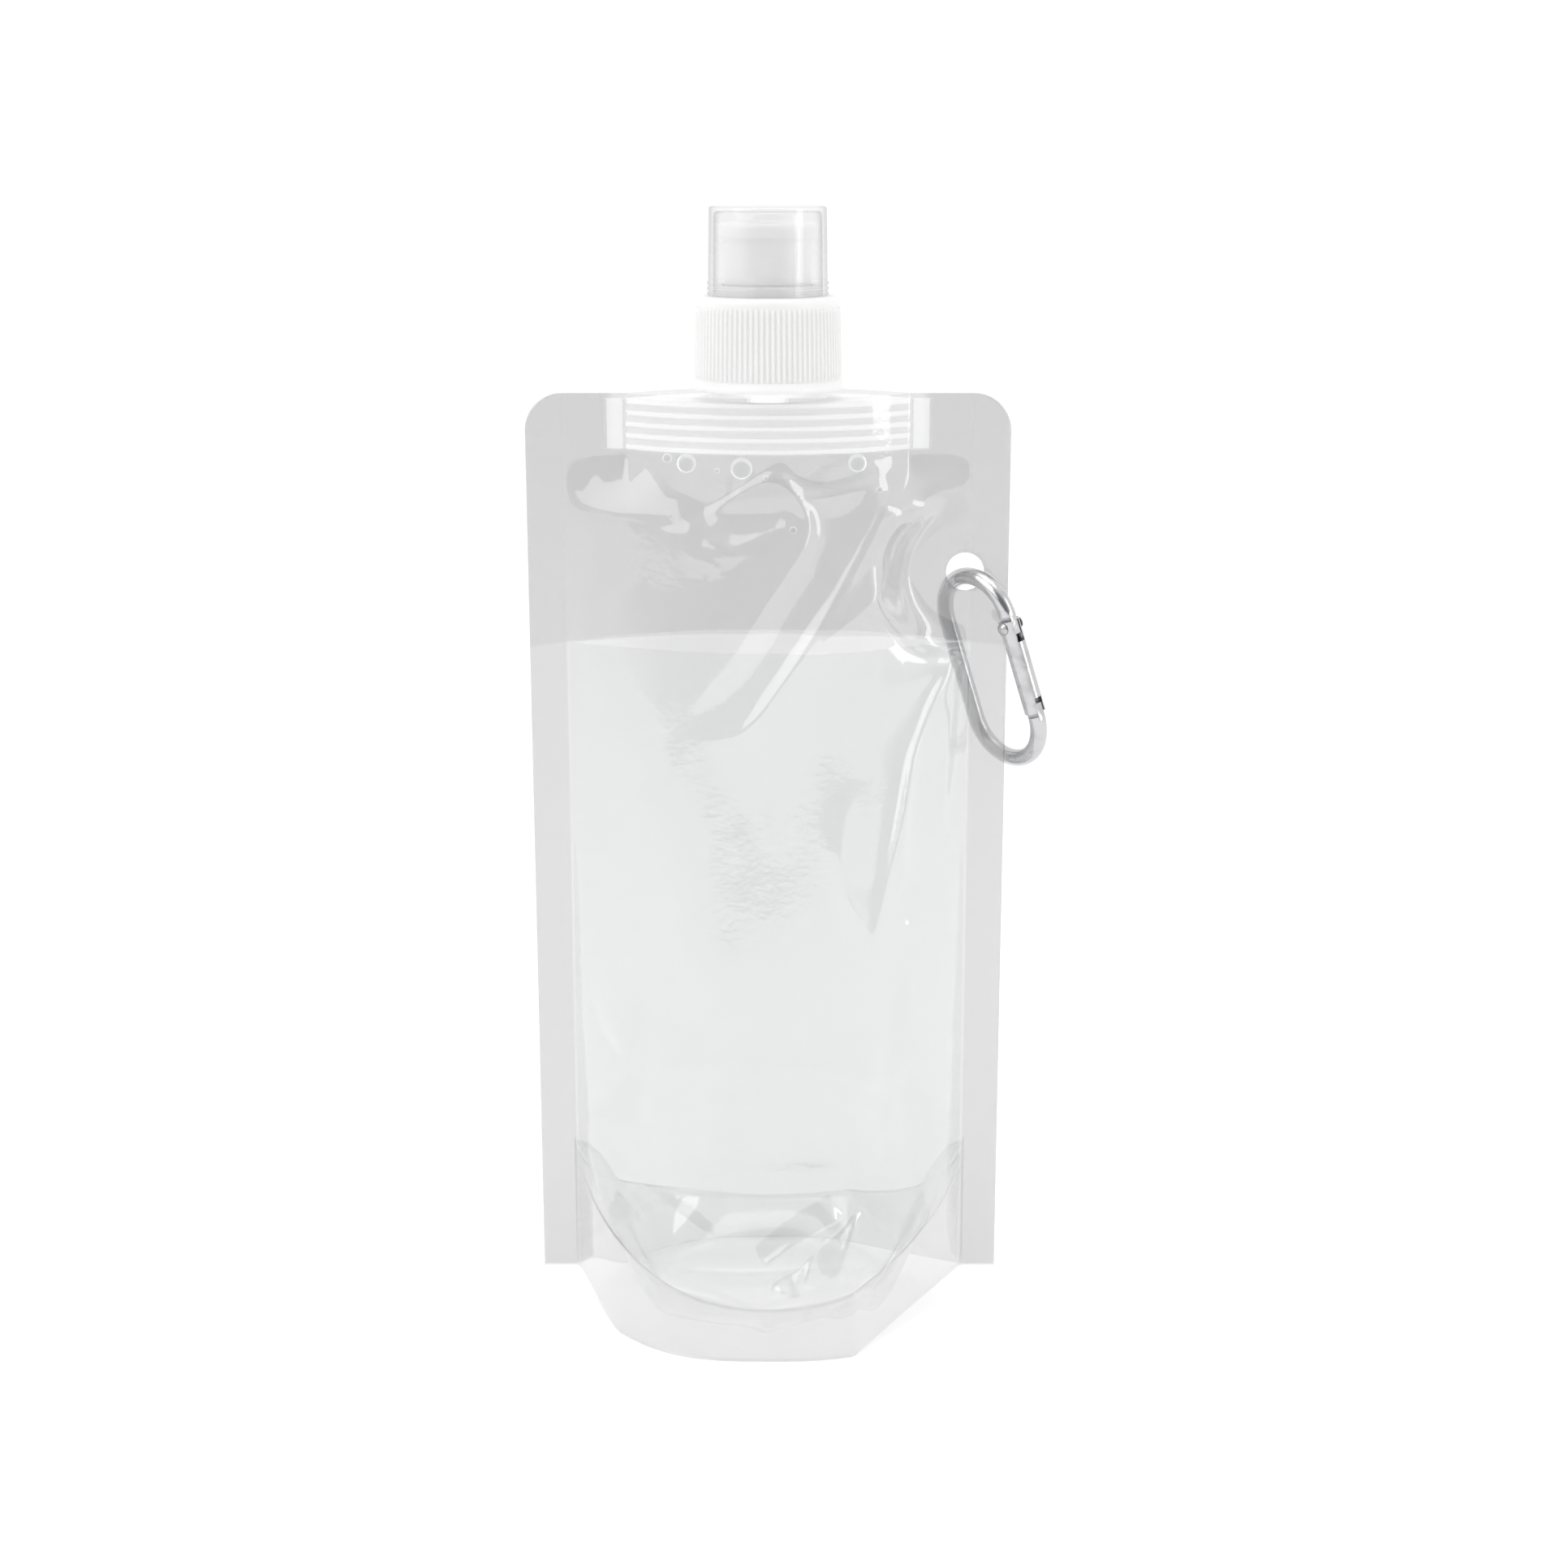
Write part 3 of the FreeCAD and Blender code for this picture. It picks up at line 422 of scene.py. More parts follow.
def clearPlasticFinish(name, look):
    # hard clear plastic: a mirror by angle over a nearly clear body that darkens where it turns
    # away, with faint cloudiness
    made = Finish(name)
    cloud = made.noise(0.008, 3.0)
    normal = made.bump(cloud, 0.12, 0.001)
    edge = made.between(0.45, 0.95, made.facing())
    body = made.mix(edge, made.clear(grey(look["pass"])), made.clear(grey(look["edgePass"])))
    hazy = made.mix(look["haze"] + cloud * look["cloud"], body, made.milk((0.88, 0.88, 0.89)))
    return made.finish(made.mix(made.mirror(look["ratio"], normal), hazy,
                                made.gloss(look["rough"], normal)))


film = filmFinish("clear_film", filmLook)
baseFilm = filmFinish("base_film", baseLook)
water = waterFinish(waterLook)
dropWater = dropFinish(dropLook)
capPlastic = clearPlasticFinish("clear_plastic", capLook)
whitePlastic, mouthPlastic, milkyPlastic, rubber = [plasticFinish(name) for name in plasticLooks]
aluminium, steel = [metalFinish(name) for name in metalLooks]
print("materials made")


# --- the pouch's shape, as the frame has it ---
filmLow, filmHigh = nodeBox("front_film")
weldLow, weldHigh = nodeBox("base_gusset_film")
boatLow, boatHigh = nodeBox("spout")
swingAt = np.array(joints["carabiner_swing"]["pos_m"]) / mm
holeX, holeZ = swingAt[[0, 2]] + (0, 1.1)     # the rod hangs 1.1 mm under the hole's middle
pouch = {
    "half": filmHigh[0], "top": filmHigh[2], "footDepth": -filmLow[1] - 0.6, "shoulderDepth": 9.4,
    "film": 0.3, "sideSeal": 8.5, "topSeal": 14.0, "cornerRadius": 8.7, "earRise": 8.8,
    "earInset": 20.5, "weldRise": 12.75, "weldSide": weldHigh[2], "panFlat": 25.0,
    "holeRadius": 4.5, "holeWeld": 14.2, "boatHalf": 33.5, "boatDepth": 13.0, "tabEnd": 38.1,
    "tabHalf": 0.4, "foldX": 20.5, "waterLevel": 168.2,
}
inner = pouch["half"] - pouch["sideSeal"]


def foldSide(x, z):
    # share of the folded, straight side of the foot, right of foldX and near the floor
    return ease(pouch["foldX"] - 1, pouch["foldX"] + 1, x) * (1 - ease(4, 52, z))


def footHeight(x):
    # lower edge: flat on the floor, rising in an S to the left ear and straight to the right one
    left = pouch["earRise"] * ease(pouch["half"] - pouch["earInset"], inner, np.abs(x))
    right = pouch["earRise"] * np.clip((x - pouch["foldX"]) / (inner - pouch["foldX"]), 0, 1)
    return np.where(x > 0, right, left)


def weldHeight(x):
    # upper edge of the foot weld: an elliptic arc up to the side seams
    share = np.clip(np.abs(x) / inner, 0, 1)
    low, high = pouch["weldRise"], pouch["weldSide"]
    return low + (high - low) * (1 - np.sqrt(1 - share * share))


def boatArc(x):
    # half depth of the spout's boat: an arc on each side, through its ends and its full depth
    half, deep = pouch["boatHalf"], pouch["boatDepth"]
    radius = (half ** 2 + deep ** 2) / (2 * deep)
    return np.sqrt(np.maximum(radius ** 2 - x * x, 0)) - (radius - deep)


def boatOutline(x):
    # the boat's arcs, then a flat tab beyond its ends
    tab = pouch["tabHalf"] * (1 - ease(pouch["tabEnd"], pouch["tabEnd"] + 4.6, np.abs(x)))
    return np.maximum(np.where(np.abs(x) < pouch["boatHalf"], boatArc(x), 0), tab)


def chamber(x, z):
    # 0 on the welds, 1 well inside them
    seamTop = pouch["top"] - pouch["topSeal"]
    side = ease(0, 7, inner - np.abs(x))
    away = np.hypot(x - holeX, z - holeZ)
    hole = ease(pouch["holeWeld"] * 0.85, pouch["holeWeld"] * 1.5, away)
    return side * hole * (1 - ease(seamTop - 7, seamTop, z)) * ease(0, 9, z - weldHeight(x) + 2)


def filmDepth(x, z):
    # the lens section that narrows with height, flat at the welds, round the boat at the top
    seamTop = pouch["top"] - pouch["topSeal"]
    share = np.clip(z / seamTop, 0, 1)
    depth = pouch["footDepth"] + (pouch["shoulderDepth"] - pouch["footDepth"]) * share
    lens = np.maximum(0, 1 - (np.abs(x) / inner) ** (3 - share)) * depth
    corner = (1 - (pouch["foldX"] / inner) ** (3 - share)) * depth
    straight = corner * np.clip((inner - x) / (inner - pouch["foldX"]), 0, 1)
    folded = foldSide(x, z)
    lens = lens * (1 - folded) + np.minimum(lens, straight) * folded
    away = np.hypot(x - holeX, z - holeZ)
    lens = lens * ease(pouch["holeWeld"] * 0.8, pouch["holeWeld"] * 1.6, away)
    sealed = ease(seamTop - pouch["topSeal"], seamTop, z)
    plies = 2 - ease(pouch["weldSide"] + 1, pouch["weldSide"] + 8, z)
    return lens * (1 - sealed) + boatOutline(x) * sealed + pouch["film"] * plies


foldShare = 1.25     # all folds and waves are this much taller than given
# folds: path of the crest as (x, z), reach of its two flanks, height outwards
frontFolds = [
    {"path": [(1, 212), (5, 206), (9, 199), (8, 192), (1, 181), (-8, 166), (-22, 151)],
     "left": 2.2, "right": 9, "height": 2.4, "crest": 0.5, "fade": (0.05, 0.5)},
    {"path": [(29, 206), (25, 197), (19, 186), (13, 176), (4, 162), (-6, 150), (-20, 148)],
     "left": 7, "right": 2.4, "height": 1.7, "crest": 0.6, "fade": (0.1, 0.4)},
    {"path": [(3, 207), (12, 204), (22, 206), (31, 210)],
     "left": 2, "right": 5, "height": 1.1, "crest": 0.7, "fade": (0.3, 0.2)},
    {"path": [(37, 202), (31, 192), (25, 181), (14, 171), (6, 158)],
     "left": 5, "right": 3, "height": 1.4, "crest": 0.6, "fade": (0.15, 0.4)},
    {"path": [(-13, 211), (-15, 204), (-15, 196), (-18, 190)],
     "left": 4, "right": 2.5, "height": -0.9, "crest": 1.0, "fade": (0.1, 0.5)},
    {"path": [(-22, 205), (-16, 196), (-9, 192), (0, 195), (8, 199)],
     "left": 3, "right": 6, "height": 0.9, "crest": 1.2, "fade": (0.3, 0.1)},
    {"path": [(45.5, 167), (40, 158), (35, 145), (31, 126), (26, 104), (22, 90)],
     "left": 3.4, "right": 1.4, "height": 2.3, "crest": 0.4, "fade": (0.05, 0.45)},
    {"path": [(45.8, 166), (43.5, 150), (42, 134), (40, 110)],
     "left": 1.4, "right": 3, "height": 1.6, "crest": 0.4, "fade": (0.06, 0.5)},
    {"path": [(35, 152), (33, 138), (32, 122), (33, 106)],
     "left": 1.3, "right": 2.2, "height": 1.0, "crest": 0.35, "fade": (0.3, 0.3)},
    {"path": [(22, 139), (17, 128), (18, 112), (24, 100), (22, 88)],
     "left": 2.2, "right": 1.3, "height": 0.8, "crest": 0.5, "fade": (0.4, 0.4)},
    {"path": [(17.8, 35), (13.3, 33), (5.6, 28.5), (-2.7, 22)],
     "left": 1.2, "right": 2.6, "height": 1.5, "crest": 0.3, "fade": (0.15, 0.1)},
    {"path": [(21.6, 36), (18.5, 26), (16, 17.5)],
     "left": 1.2, "right": 2.2, "height": 1.5, "crest": 0.3, "fade": (0.2, 0.1)},
    {"path": [(13, 31), (9.5, 23), (8.4, 17), (5.5, 15.4), (1.5, 19)],
     "left": 1.3, "right": 1.6, "height": 1.7, "crest": 0.35, "fade": (0.25, 0.1)},
    {"path": [(24.5, 38), (12, 27), (1, 18)],
     "left": 2.4, "right": 1.2, "height": -1.2, "crest": 0.4, "fade": (0.3, 0.2)},
    {"path": [(-36, 42), (-20, 34), (-6, 24)],
     "left": 3, "right": 2, "height": 0.8, "crest": 0.6, "fade": (0.2, 0.4)},
    {"path": [(45, 169), (36, 168), (24, 171)],
     "left": 3, "right": 3, "height": -0.8, "crest": 0.8, "fade": (0.05, 0.6)},
    {"path": [(-44, 98), (-42, 78), (-35, 69), (-30, 78), (-28, 100)],
     "left": 1.6, "right": 3.2, "height": -0.8, "crest": 0.8, "fade": (0.4, 0.4)},
    {"path": [(33, 116), (32, 108), (33.5, 101)],
     "left": 1.0, "right": 1.0, "height": -0.5, "crest": 0.4, "fade": (0.3, 0.3)},
    {"path": [(-28, 12), (-38, 26), (-45, 44)],
     "left": 1.5, "right": 3, "height": 0.7, "crest": 0.7, "fade": (0.2, 0.4)},
    {"path": [(24, 8), (33, 22), (38, 34), (44, 56)],
     "left": 4, "right": 2, "height": 0.8, "crest": 0.7, "fade": (0.2, 0.5)},
]
frontStars = [{"at": (46.0, 166.5), "pleats": 7, "height": 0.75, "reach": 12, "turn": 0.6}]
rearFolds = [
    {"path": [(-6, 210), (-12, 196), (-10, 180), (-24, 162)],
     "left": 3, "right": 8, "height": 1.6, "crest": 0.8, "fade": (0.1, 0.5)},
    {"path": [(20, 208), (14, 190), (22, 170), (12, 150)],
     "left": 6, "right": 3, "height": 1.4, "crest": 0.8, "fade": (0.1, 0.5)},
    {"path": [(45.5, 168), (36, 150), (32, 128), (24, 104)],
     "left": 5, "right": 3, "height": 1.4, "crest": 0.8, "fade": (0.06, 0.6)},
    {"path": [(-44, 150), (-36, 130), (-33, 104)],
     "left": 3, "right": 5, "height": 1.2, "crest": 1.0, "fade": (0.2, 0.5)},
    {"path": [(-30, 14), (-37, 28), (-44, 46)],
     "left": 2, "right": 3, "height": 0.7, "crest": 0.7, "fade": (0.2, 0.4)},
]


def swell(x, z, phase):
    # broad shallow waves of slack film, stronger above the water
    slack = 0.35 + 0.65 * ease(150, 185, z)
    waves = np.sin(x / 11 + z / 23 + phase) + 0.7 * np.sin(x / 17 - z / 14 + 2 * phase + 1)
    return 0.35 * slack * waves


def filmLift(x, z, folds, stars, phase):
    # waves, folds and pleats added up, and none on the welds
    lift = swell(x, z, phase)
    for fold in folds:
        lift = lift + foldLift(x, z, fold)
    for star in stars:
        lift = lift + starLift(x, z, star)
    return foldShare * lift * chamber(x, z)


def frontDepth(x, z):
    # distance of the front film's outer face from the middle plane
    return filmDepth(x, z) + filmLift(x, z, frontFolds, frontStars, 0.0)


def rearDepth(x, z):
    # the same for the rear film, with its own folds
    return filmDepth(x, z) + filmLift(x, z, rearFolds, [], 2.1)


filmMesh = {"columns": 151, "flatRows": 267, "bentRows": 14, "rimReach": 0.35, "wall": 0.22}


def filmSheet(depth, side):
    # a grid from the foot curve to the top edge; rows near the top follow the round corners, and
    # the hang hole's rim is the grid pushed out to a circle
    columns, flat, bent = filmMesh["columns"], filmMesh["flatRows"], filmMesh["bentRows"]
    half, top, corner = pouch["half"], pouch["top"], pouch["cornerRadius"]
    flatRows = np.linspace(0, 1, flat)
    bendRows = np.radians(np.linspace(0, 90, bent + 1))[1:]
    low = top - corner
    wide = np.concatenate([np.full(flat, half), half - corner + corner * np.cos(bendRows)])
    x = wide[:, None] * np.linspace(-1, 1, columns)
    foot = footHeight(x[:flat])
    bend = (low + corner * np.sin(bendRows))[:, None]
    z = np.concatenate([foot + (low - foot) * flatRows[:, None],
                        np.broadcast_to(bend, (bent, columns))])
    away = np.hypot(x - holeX, z - holeZ)
    rim = pouch["holeRadius"]
    inside = away < rim + filmMesh["rimReach"]
    push = np.where(inside, rim / np.maximum(away, 1e-6), 1.0)
    x, z = holeX + (x - holeX) * push, holeZ + (z - holeZ) * push
    y = -side * depth(x, z)
    faces = gridFaces(flat + bent, columns)
    faces = faces[~inside.ravel()[faces].all(1)]
    return np.stack([x, y, z], -1), faces if side > 0 else faces[:, ::-1]


def thicken(piece, thickness):
    wall = piece.modifiers.new("film", "SOLIDIFY")
    wall.thickness = thickness * mm
    wall.offset = -1.0
    wall.use_even_offset = True


frontFilm = addPiece("front_film_skin", *filmSheet(frontDepth, 1), "pouch", "clear_film", film,
                     ["front_film"], outward=False)
rearFilm = addPiece("rear_film_skin", *filmSheet(rearDepth, -1), "pouch", "clear_film", film,
                    ["rear_film"], outward=False)
for skin in (frontFilm, rearFilm):
    thicken(skin, filmMesh["wall"])
print("films made")

# --- base film: pan with gusset folds, and the strips welded up inside the front and rear films ---
panFolds = [
    {"path": [(36, 8), (24, 0), (10, -9), (-3, -17)],
     "left": 1.5, "right": 3.5, "height": 3.0, "crest": 0.3, "fade": (0.2, 0.1)},
    {"path": [(36, 5), (24, -7), (14, -16), (9, -27)],
     "left": 2.6, "right": 1.4, "height": 3.6, "crest": 0.3, "fade": (0.2, 0.06)},
    {"path": [(35, 1), (26, -10), (21, -20), (18, -28)],
     "left": 1.6, "right": 1.6, "height": 2.8, "crest": 0.3, "fade": (0.2, 0.1)},
    {"path": [(30, 4), (14, -6), (2, -18), (-3, -26)],
     "left": 1.6, "right": 2.4, "height": -1.8, "crest": 0.4, "fade": (0.2, 0.1)},
    {"path": [(-36, 6), (-20, -3), (-4, -12)],
     "left": 3, "right": 2, "height": 1.6, "crest": 0.7, "fade": (0.2, 0.4)},
    {"path": [(-34, -4), (-24, -16), (-12, -26)],
     "left": 2, "right": 3, "height": 1.2, "crest": 0.7, "fade": (0.2, 0.4)},
    {"path": [(-30, 14), (-8, 10), (14, 13), (32, 12)],
     "left": 4, "right": 2, "height": 1.4, "crest": 0.8, "fade": (0.2, 0.2)},
]
basePan = {"columns": 121, "rows": 61, "inset": 0.3, "reachIn": 0.6, "flatShare": 0.35,
           "lowest": 0.02, "wall": 0.18}
fins = {"columns": 151, "rows": 17, "past": 0.4, "under": 0.26}


def evenAcross(reach, columns, rows):
    # evenly spaced x from -reach to reach, the same in every row
    return np.linspace(-reach, reach, columns)[None, :] * np.ones((rows, 1))


def panRise(x, y, share):
    # height of the pan and of its crumples at share (0 in the middle, 1 at the films): flat, then
    # banked up to the weld by a square, both rising towards the side seams
    rim, flat = weldHeight(x), basePan["flatShare"]
    floor = (pouch["weldSide"] - 1) * ease(pouch["panFlat"], inner + 1, np.abs(x))
    bank = np.maximum(0, (share - flat) / (1 - flat)) ** 2
    crumple = sum(foldLift(x, y, fold) for fold in panFolds)
    crumple = crumple * ease(0, 0.2, 1 - share) * ease(0, 8, inner - np.abs(x))
    return floor + np.maximum(0, rim - floor) * bank, crumple


def panGrid():
    # across the foot at each x, from the front film at share -1 to the rear one at 1
    columns, rows, lowest = basePan["columns"], basePan["rows"], basePan["lowest"]
    x = evenAcross(inner - basePan["inset"], columns, rows)
    share = np.linspace(-1, 1, rows)[:, None] * np.ones((1, columns))
    rim = weldHeight(x)
    depth = np.where(share < 0, frontDepth(x, rim), rearDepth(x, rim))
    y = share * np.maximum(0.05, depth - basePan["reachIn"])
    rise, crumple = panRise(x, y, np.abs(share))
    return np.stack([x, y, np.maximum(lowest, rise + crumple + lowest)], -1)


def finGrid(depth, side):
    # up the inside of the film, from the foot edge to the weld's upper edge
    x = evenAcross(inner + fins["past"], fins["columns"], fins["rows"])
    foot = footHeight(x)
    z = foot + (weldHeight(x) - foot) * np.linspace(0, 1, fins["rows"])[:, None]
    return np.stack([x, -side * (depth(x, z) - fins["under"]), z], -1)


panPoints, frontFin, rearFin = panGrid(), finGrid(frontDepth, 1), finGrid(rearDepth, -1)
gusset = addPiece("base_film_skin", *joinGrids(
    (panPoints, gridFaces(*panPoints.shape[:2])),
    (frontFin, gridFaces(*frontFin.shape[:2])),
    (rearFin, gridFaces(*rearFin.shape[:2])[:, ::-1])),
    "pouch", "clear_film", baseFilm, ["base_gusset_film"], outward=False)
thicken(gusset, basePan["wall"])
print("base made")


# --- the water: films' inside up to the level, the pan's top below ---
waterPlan = {"columns": 111, "rows": 90, "cross": 41, "inset": 0.6, "gap": 0.5, "overPan": 0.35,
             "climb": 0.5, "climbReach": 0.9}


def waterBody(plan):
    # two sheets a gap inside the films, closed by the level on top, which climbs at the films by
    # exp(-distance / reach), and by a sheet over the pan below
    columns, rows, cross = plan["columns"], plan["rows"], plan["cross"]
    wide = evenAcross(inner - plan["inset"], columns, rows)
    rim, level = weldHeight(wide[0]), pouch["waterLevel"]
    z = rim + (level - rim) * np.linspace(0, 1, rows)[:, None]
    front = np.maximum(0, frontDepth(wide, z) - plan["gap"])
    rear = np.maximum(0, rearDepth(wide, z) - plan["gap"])
    front[:, [0, -1]] = 0
    rear[:, [0, -1]] = 0
    share = np.linspace(0, 1, cross)[:, None]
    x = evenAcross(inner - plan["inset"], columns, cross)
    topY = -front[-1] * (1 - share) + rear[-1] * share
    edge = np.minimum(topY + front[-1], rear[-1] - topY)
    meniscus = plan["climb"] * (np.exp(-edge / plan["climbReach"]) - 1)
    topZ = level + meniscus * ease(0, 0.08, share) * ease(0, 0.08, 1 - share)
    lowY = -front[0] * (1 - share) + rear[0] * share
    side = np.abs(2 * share - 1)
    rise, crumple = panRise(x, lowY, side)
    lowZ = rise + (crumple + plan["overPan"]) * (1 - side ** 8)
    lowZ = np.maximum(plan["overPan"], lowZ)
    lowZ[0], lowZ[-1] = rim, rim
    sheetFaces, crossFaces = gridFaces(rows, columns), gridFaces(cross, columns)
    return joinGrids((np.stack([wide, -front, z], -1), sheetFaces),
                     (np.stack([wide, rear, z], -1), sheetFaces[:, ::-1]),
                     (np.stack([x, topY, topZ], -1), crossFaces),
                     (np.stack([x, lowY, lowZ], -1), crossFaces[:, ::-1]))


addPiece("water", *waterBody(waterPlan), "pouch", "clear_film", water)
print("water made")


# --- turned pieces: a profile with rounded corners, carried round the axis ---
def roundedProfile(corners, steps=5):
    # each corner is (radius, height, rounding); a quadratic curve cuts each corner by its rounding
    spots = np.array([corner[:2] for corner in corners], float)
    made = []
    for index, (radius, height, rounding) in enumerate(corners):
        here = spots[index]
        if rounding <= 0 or index in (0, len(corners) - 1):
            made.append(here[None])
            continue
        before, after = spots[index - 1] - here, spots[index + 1] - here
        cut = min(rounding, 0.49 * np.linalg.norm(before), 0.49 * np.linalg.norm(after))
        first = here + before / np.linalg.norm(before) * cut
        last = here + after / np.linalg.norm(after) * cut
        share = np.linspace(0, 1, steps)[:, None]
        made.append(first * (1 - share) ** 2 + here * 2 * share * (1 - share) + last * share ** 2)
    return np.vstack(made)


def ringPoints(radius, angle, height):
    # points at these radii, angles and heights about the upright axis
    return np.stack([radius * np.cos(angle), radius * np.sin(angle), height], -1)


def turnedGrid(profile, around=144, ripple=None):
    # profile points (r, z) at every angle; ripple adds to r by angle and height
    angle = np.linspace(0, 2 * np.pi, around, endpoint=False)[None, :]
    radius = profile[:, :1] * np.ones_like(angle)
    height = profile[:, 1:] * np.ones_like(angle)
    if ripple is not None:
        radius = radius + ripple(angle, radius, height)
    return ringPoints(radius, angle, height), gridFaces(len(profile), around, True)


def closedTurn(corners, around=144, ripple=None, steps=5):
    # the profile runs back to its first corner
    return turnedGrid(roundedProfile(corners + [corners[0]], steps), around, ripple)


def helixRidge(root, out, middle):
    # a thread: its trapezoid section carried up a helix, out from the root (1) or in from it
    # (-1), shrinking to nothing at both ends
    along, sunk = thread["along"], 0.2
    angle = np.linspace(0, 2 * np.pi * thread["turns"], along)[:, None]
    share = np.linspace(0, 1, along)[:, None]
    tall = thread["reach"] * ease(0, 0.08, share) * ease(0, 0.08, 1 - share)
    offR = out * np.hstack([np.full_like(tall, -sunk), tall, tall, np.full_like(tall, -sunk)])
    offZ = np.array([-thread["base"], -thread["crest"], thread["crest"], thread["base"]]) / 2
    height = middle + thread["pitch"] * angle / (2 * np.pi) + offZ
    return ringPoints(root + offR, angle, height), gridFaces(along, 4, True)


capTop = pouch["top"]
thread = {"pitch": 3.2, "turns": 1.5, "reach": 1.2, "base": 1.4, "crest": 0.7, "along": 160,
          "start": capTop + 5.2}
neck = {"radius": 12.3, "bore": 10.6, "shoulder": 13.7, "step": capTop + 2, "top": boatHigh[2]}
boat = {"ribs": 5, "step": 2.625, "ribTall": 1.3, "relief": 0.55, "clear": 0.12, "around": 192,
        "tabX": 35.6, "tabSize": (5.0, 1.0, 11.8)}


# spout: boat, shoulder and neck share one angle, so one grid runs from the bore's foot, out under
# the boat, up its ribbed side, in to the shoulder, up the neck and down the bore
def spoutGrid():
    around, low, step = boat["around"], boatLow[2], boat["step"]
    angle = np.linspace(0, 2 * np.pi, around, endpoint=False)
    lensX = pouch["boatHalf"] * np.cos(angle)
    lens = np.stack([lensX, np.sign(np.sin(angle)) * (boatArc(lensX) + boat["clear"])], -1)
    ring = np.stack([np.cos(angle), np.sin(angle)], -1)
    rows = [(ring * neck["bore"], low)]
    for share in (0.3, 0.6, 0.85):
        rows.append((ring * neck["bore"] * (1 - share) + lens * share * 0.97, low))
    ribSide = [(0.0, 0.35), (0.15, 0.05), (0.65, 0.0), (1.15, 0.05), (boat["ribTall"], 0.35)]
    valley = [(1.5, boat["relief"]), (2.4, boat["relief"])]
    for index in range(boat["ribs"]):
        for up, inset in ribSide + (valley if index < boat["ribs"] - 1 else []):
            shrink = 1 - inset / pouch["boatDepth"] * np.array([0.5, 1.0])
            rows.append((lens * shrink, low + index * step + up))
    top = low + (boat["ribs"] - 1) * step + boat["ribTall"]
    for share in (0.25, 0.6, 0.9):
        foot = ring * (neck["shoulder"] + 0.01) * share
        rows.append((foot + lens * (1 - share) * 0.97, top))
    wide, radius, bore, ledge = neck["shoulder"], neck["radius"], neck["bore"], neck["step"]
    profile = [(wide - 0.5, top), (wide, top + 0.2), (wide, ledge - 0.2), (wide - 0.2, ledge),
               (radius + 0.2, ledge), (radius, ledge + 0.3), (radius, neck["top"] - 0.4),
               (radius - 0.4, neck["top"]), (bore + 0.2, neck["top"]), (bore, neck["top"] - 0.2),
               (bore, low)]
    rows += [(ring * radius, height) for radius, height in profile]
    points = [np.column_stack([flat, np.full(around, height)]) for flat, height in rows]
    return np.stack(points), gridFaces(len(rows), around, True)


def plate(centre, size, rounding):
    # a block with rounded upright edges: a superellipse outline carried up, drawn in at both ends
    around, power = 32, 0.35
    angle = np.linspace(0, 2 * np.pi, around, endpoint=False)
    wide, deep, tall = np.array(size) / 2
    cos, sin = np.cos(angle), np.sin(angle)
    outline = np.stack([np.sign(cos) * np.abs(cos) ** power * wide,
                        np.sign(sin) * np.abs(sin) ** power * deep], -1)
    levels = [(-tall, 0.0), (-tall, 1 - 2 * rounding), (-tall + rounding, 1.0),
              (tall - rounding, 1.0), (tall, 1 - 2 * rounding), (tall, 0.0)]
    points = [np.column_stack([outline * grow, np.full(around, up)]) for up, grow in levels]
    return np.stack(points) + np.array(centre), gridFaces(len(levels), around, True)


tabZ = boatLow[2] + boat["tabSize"][2] / 2
tabs = [plate((side * boat["tabX"], 0, tabZ), boat["tabSize"], 0.2) for side in (-1, 1)]
addPiece("spout_moulding",
         *joinGrids(spoutGrid(), *tabs, helixRidge(neck["radius"], 1, thread["start"])),
         "pouch", "white_plastic", milkyPlastic, ["spout"], sharp=40)

# collar: ribbed skirt, flared edge, spigot, and a post held by spokes
deck = capTop + 22.3
collar = {"ribs": 84, "ribReach": 0.42, "ribFoot": capTop + 4.0, "ribTop": capTop + 19.7,
          "inner": neck["radius"] + 1.55, "flare": 17.7, "skirt": 16.6, "rim": 12.5,
          "spigot": 8.0, "spigotTop": deck + 11, "bore": 6.4, "low": nodeBox("screw_collar")[0][2]}
post = {"radius": 2.9, "tip": 2.3, "foot": deck - 1, "top": deck + 15.9, "spokes": 3,
        "spokeAt": 4.5, "spokeSize": (4.8, 1.4, 2.0)}


def collarRibs(angle, radius, height):
    # ridges by the cosine of ribs * angle, flattened by an S-curve, between the band's edges
    ridge = ease(-0.35, 0.75, np.cos(collar["ribs"] * angle))
    foot = ease(collar["ribFoot"] - 0.5, collar["ribFoot"] + 0.1, height)
    top = 1 - ease(collar["ribTop"] - 0.1, collar["ribTop"] + 0.4, height)
    return collar["ribReach"] * ridge * foot * top * (radius > collar["skirt"] - 1.1)


